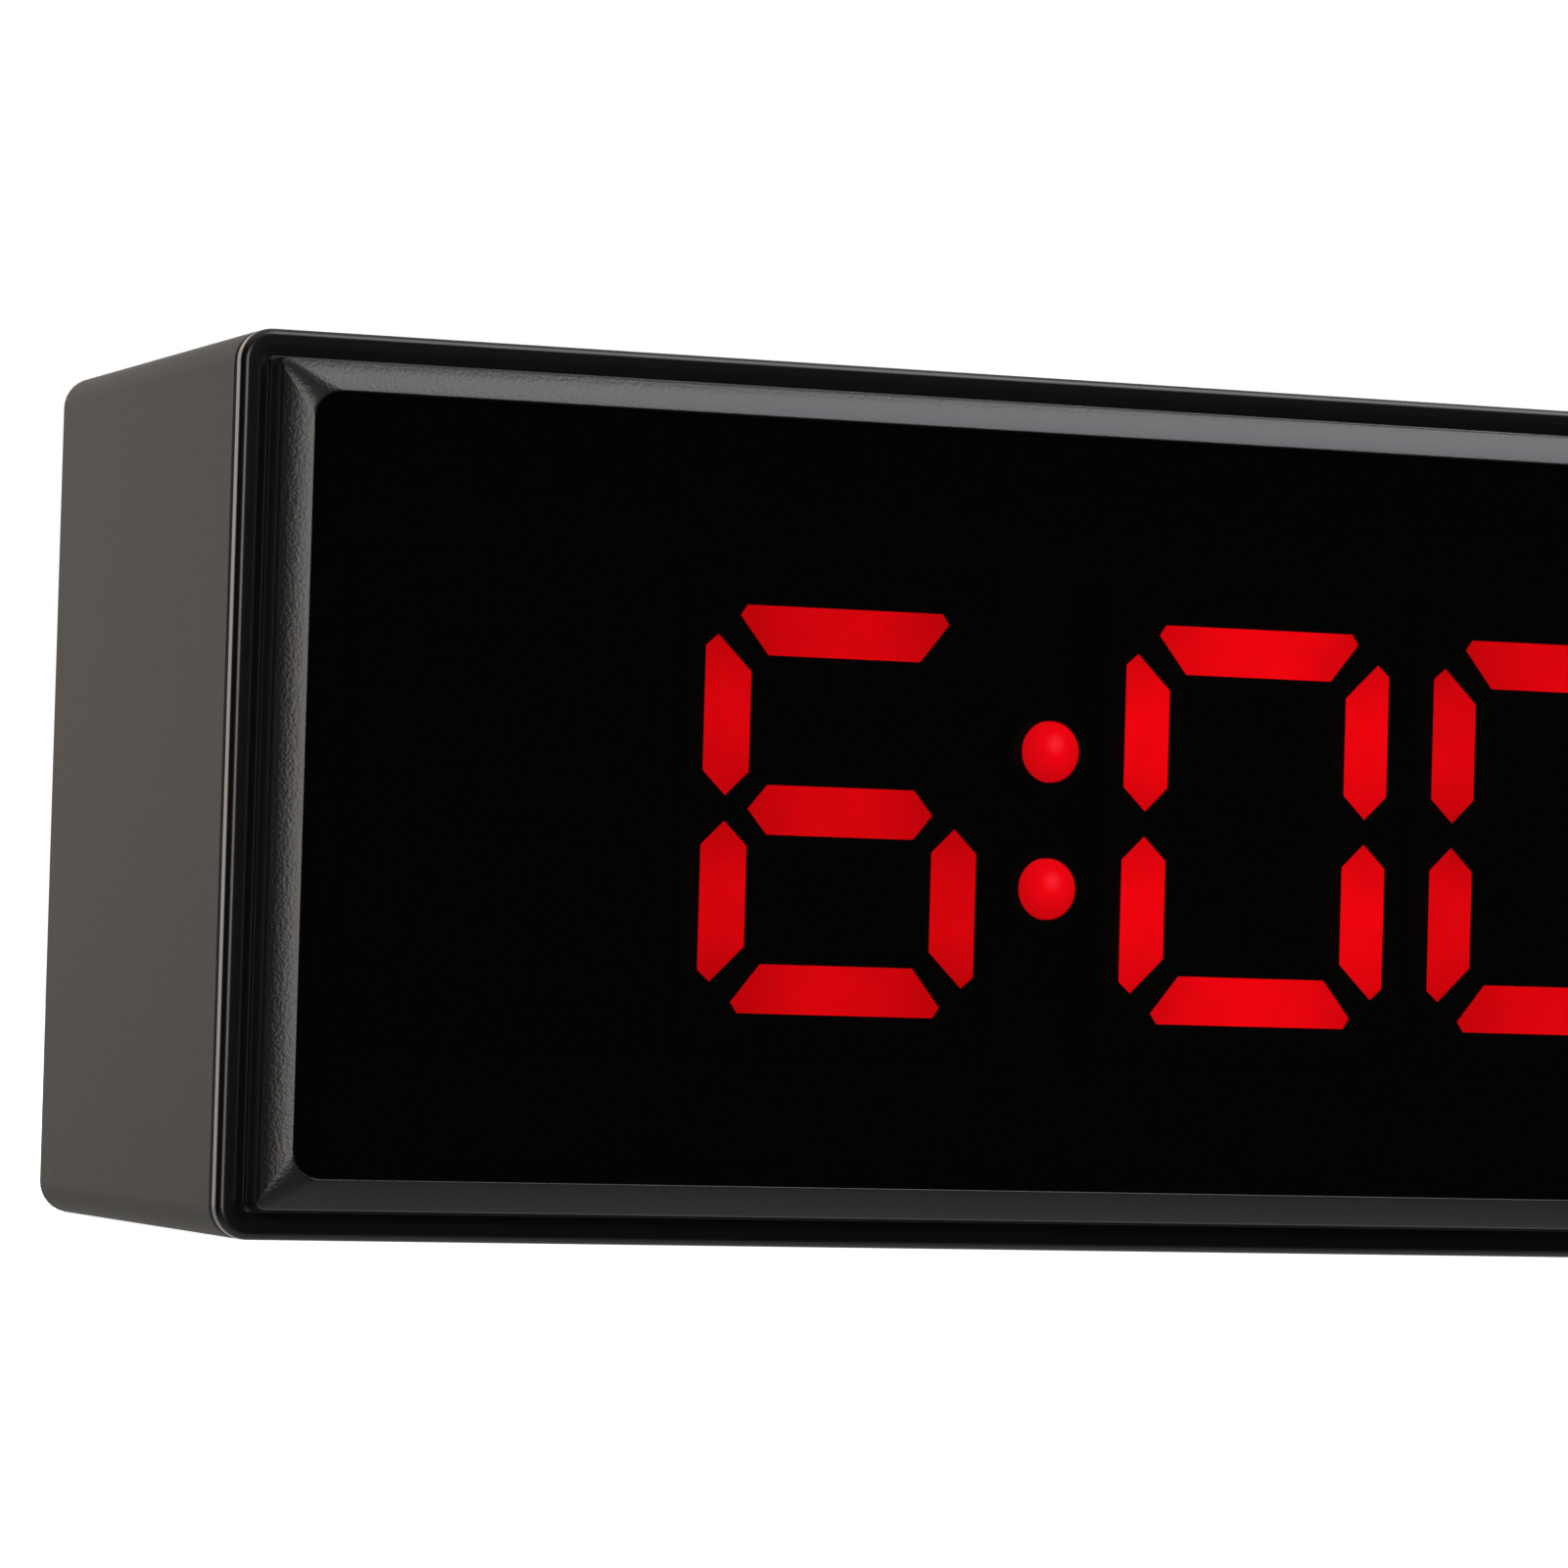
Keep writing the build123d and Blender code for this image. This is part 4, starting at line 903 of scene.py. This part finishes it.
def makeSwitchBody():
    low, high = boxMm("rocker_body")
    w = switch
    halfAcross, halfAlong = (high.y - low.y) / 2, (high.z - low.z) / 2
    back = caseHigh.x - low.x
    shellSize = (w["shellAcross"] - w["slip"], w["shellAlong"] - w["slip"], w["shellRadius"])
    outlines = [(*shellSize, back), (*shellSize, 0), (halfAcross, halfAlong, w["radius"], 0),
                (halfAcross, halfAlong, w["radius"], w["chamfer"] - w["flange"]),
                (halfAcross - w["chamfer"], halfAlong - w["chamfer"], w["radius"] - 0.3, -w["flange"]),
                (w["wellAcross"] + w["mouth"], w["wellAlong"] + w["mouth"], w["mouthRadius"], -w["flange"]),
                (w["wellAcross"], w["wellAlong"], w["wellRadius"], w["mouth"] - w["flange"]),
                (w["wellAcross"], w["wellAlong"], w["wellRadius"], w["floor"])]
    return loftOutlines("switchBody", outlines, cornerSteps=5, turn=90, place=sidePlace("rocker_body"))


settle(makeSwitchBody(), finishes["satinBlackAbs"], "black_abs", "case", "rocker_body")

rocker = {"radius": 8.1, "halfWidth": 5.0, "half": 7.2, "hollow": 1.2, "tilt": 11.0, "pivotDepth": 0.5,
          "edge": 0.45}


def makeRocker():
    # A round paddle with two shallow flats that meet over the pivot. Known fault: it leans with its lower
    # end out, the opposite way to the CAD's rocker
    pivot = Vector((caseHigh.x - rocker["pivotDepth"], sidePlace("rocker")[1], sidePlace("rocker_body")[2]))
    startFresh()
    bpy.ops.mesh.primitive_cylinder_add(vertices=64, radius=rocker["radius"], depth=2 * rocker["halfWidth"],
                                        location=pivot, rotation=(math.pi / 2, 0, 0))
    paddle = bpy.context.object
    paddle.name = "powerRocker"
    bpy.ops.object.transform_apply(location=True, rotation=True, scale=True)
    above = (rocker["radius"] ** 2 - rocker["half"] ** 2) ** 0.5
    bpy.ops.object.mode_set(mode="EDIT")
    bpy.ops.mesh.select_all(action="SELECT")
    bpy.ops.mesh.bisect(plane_co=(pivot.x + above, 0, 0), plane_no=(1, 0, 0), clear_outer=True, use_fill=True,
                        threshold=0.0001)
    bpy.ops.mesh.select_all(action="SELECT")
    bpy.ops.mesh.bisect(plane_co=pivot, plane_no=(0, 0, 1), threshold=0.0001)
    editPart(paddle, "VERT", lambda p: p.x > pivot.x + above - 0.01 and abs(p.z - pivot.z) < 0.01)
    bpy.ops.transform.translate(value=(-rocker["hollow"], 0, 0))
    editPart(paddle, "EDGE", lambda p, q: min(p.x, q.x) > pivot.x and max(p.x, q.x) > pivot.x + 1
             and not (abs(p.z - pivot.z) < 0.01 and abs(q.z - pivot.z) < 0.01)
             and (abs(abs(p.y - q.y) - 2 * rocker["halfWidth"]) < 0.01 or abs(p.y - q.y) < 0.01))
    bpy.ops.mesh.bevel(offset=rocker["edge"], segments=3, affect="EDGES")
    bpy.ops.mesh.select_all(action="SELECT")
    bpy.ops.mesh.normals_make_consistent(inside=False)
    bpy.ops.transform.rotate(value=math.radians(rocker["tilt"]), orient_axis="Y", center_override=pivot)
    bpy.ops.object.mode_set(mode="OBJECT")
    return paddle


settle(makeRocker(), finishes["satinBlackAbs"], "black_abs", "power_rocker", "rocker")


def makeSocket():
    low, high = boxMm("jack_body")
    s = socket
    back = caseHigh.x - low.x
    outer = (high.z - low.z) / 2
    mouth = -s["flange"]
    profile = [(0, back), (s["barrel"], back), (s["barrel"], 0), (outer, 0)]
    profile += easedCorner((outer, 0), (outer, mouth), (0, mouth), s["edge"], 4)
    profile += [(s["bore"] + s["chamfer"], mouth), (s["bore"], mouth + s["chamfer"]),
                (s["bore"], mouth + s["boreDepth"]), (0, mouth + s["boreDepth"])]
    return turnProfile("powerSocket", profile, steps=56, turn=90, place=sidePlace("jack_body"))


def makeSocketPin():
    low, high = boxMm("jack_pin")
    radius = (high.z - low.z) / 2
    profile = [(0, 0), (radius, 0)]
    length = high.x - low.x
    profile += easedCorner((radius, 0), (radius, -length), (0, -length), radius * 0.6, 4) + [(0, -length)]
    return turnProfile("socketPin", profile, steps=32, turn=90,
                       place=(low.x, (low.y + high.y) / 2, (low.z + high.z) / 2))


settle(makeSocket(), finishes["satinBlackAbs"], "black_abs", "case", "jack_body")
settle(makeSocketPin(), finishes["tinnedCopper"], "tinned_wire", "case", "jack_pin")
print("keys, slider, switch and socket made")


# Studio: pale floor and surround, soft light from above and from the left, and little in front

cameraSetup = {"place": (-0.377, -0.9235, 0.036), "turn": 21.01, "lift": 1.75, "roll": 1.6, "lens": 154.2}
softboxes = {
    # direction from the object, distance, width and height in metres, strength in watts
    "topLight": {"from": (0.40, -0.54, 0.74), "away": 1.2, "size": (0.9, 0.7), "power": 7.7,
                 "colour": "#fbf6ff"},
    "leftLight": {"from": (-0.40, -0.91, 0.09), "away": 1.2, "size": (0.50, 0.66), "power": 4.6,
                  "colour": "#fffaf4"},
    "rearLight": {"from": (-0.50, 0.85, 0.22), "away": 0.6, "size": (0.45, 0.45), "power": 0.5,
                  "colour": "#ffe9d8"},
    "backLight": {"from": (0.45, 0.75, 0.48), "away": 1.5, "size": (1.2, 0.8), "power": 10,
                  "colour": "#ffffff"},
    "rightLight": {"from": (0.92, -0.10, 0.38), "away": 1.5, "size": (0.9, 0.9), "power": 10,
                   "colour": "#ffffff"},
}


def addFloor():
    startFresh()
    bpy.ops.mesh.primitive_plane_add(size=12, location=(0, 0, 0))
    floor = bpy.context.object
    floor.name = "floor"
    finish = newFinish("paleStudioBoard", {
        "Base Color": linear("#f4f4f4"), "Roughness": 0.9, "Emission Color": linear("#ffffff"),
        "Emission Strength": 0.9, "Specular IOR Level": 0.1})[0]
    floor.data.materials.append(finish)
    floor.visible_glossy = False
    floor.visible_diffuse = False
    floor.visible_transmission = False
    floor.visible_shadow = False


def addSoftboxes():
    aim = Vector((0, 0, middleZ * mm))
    for name, box in softboxes.items():
        light = bpy.data.lights.new(name, "AREA")
        light.shape = "RECTANGLE"
        light.size, light.size_y = box["size"]
        light.energy = box["power"]
        light.color = linear(box["colour"])[:3]
        softbox = bpy.data.objects.new(name, light)
        bpy.context.scene.collection.objects.link(softbox)
        direction = Vector(box["from"]).normalized()
        softbox.location = aim + direction * box["away"]
        softbox.rotation_euler = direction.to_track_quat("Z", "Y").to_euler()
        softbox.visible_camera = False


def addSurround():
    # White to the camera; as light it is white behind the object, soft above and below, and dim in front
    world = bpy.data.worlds.new("studio")
    bpy.context.scene.world = world
    world.use_nodes = True
    tree = world.node_tree
    tree.nodes.clear()
    direction = addNode(tree, "ShaderNodeTexCoord").outputs["Generated"]
    parts = addNode(tree, "ShaderNodeSeparateXYZ", {"Vector": direction})
    behind = addNode(tree, "ShaderNodeMapRange", {
        "Value": parts.outputs["Y"], "From Min": 0.55, "From Max": 0.9, "To Min": 0.025, "To Max": 0.8},
        interpolation_type="SMOOTHSTEP")
    above = addNode(tree, "ShaderNodeMapRange", {
        "Value": parts.outputs["Z"], "From Min": 0.5, "From Max": 0.95, "To Min": 0.0, "To Max": 0.8})
    below = addNode(tree, "ShaderNodeMapRange", {
        "Value": parts.outputs["Z"], "From Min": -0.25, "From Max": -0.8, "To Min": 0.0, "To Max": 0.6})
    ends = addNode(tree, "ShaderNodeMath", {0: above.outputs[0], 1: below.outputs[0]}, operation="MAXIMUM")
    strength = addNode(tree, "ShaderNodeMath", {0: ends.outputs[0], 1: behind.outputs[0]},
                       operation="MAXIMUM")
    soft = addNode(tree, "ShaderNodeBackground", {
        "Color": linear("#fffaf5"), "Strength": strength.outputs[0]})
    pale = addNode(tree, "ShaderNodeBackground", {"Color": linear("#ffffff"), "Strength": 1.0})
    seen = addNode(tree, "ShaderNodeLightPath").outputs["Is Camera Ray"]
    both = addNode(tree, "ShaderNodeMixShader", {0: seen, 1: soft.outputs[0], 2: pale.outputs[0]})
    addNode(tree, "ShaderNodeOutputWorld", {"Surface": both.outputs[0]})


def addCamera():
    camera = bpy.data.objects.new("camera", bpy.data.cameras.new("camera"))
    bpy.context.scene.collection.objects.link(camera)
    camera.data.lens = cameraSetup["lens"]
    camera.data.sensor_width = 36
    turned = Matrix.Rotation(math.radians(-cameraSetup["turn"]), 4, "Z")
    lifted = Matrix.Rotation(math.radians(90 + cameraSetup["lift"]), 4, "X")
    rolled = Matrix.Rotation(math.radians(cameraSetup["roll"]), 4, "Z")
    camera.matrix_world = Matrix.Translation(cameraSetup["place"]) @ turned @ lifted @ rolled
    camera.data.clip_start, camera.data.clip_end = 0.05, 50
    bpy.context.scene.camera = camera


addFloor()
addSoftboxes()
addSurround()
addCamera()
bpy.context.scene.view_settings.view_transform = "Standard"
print("studio set")
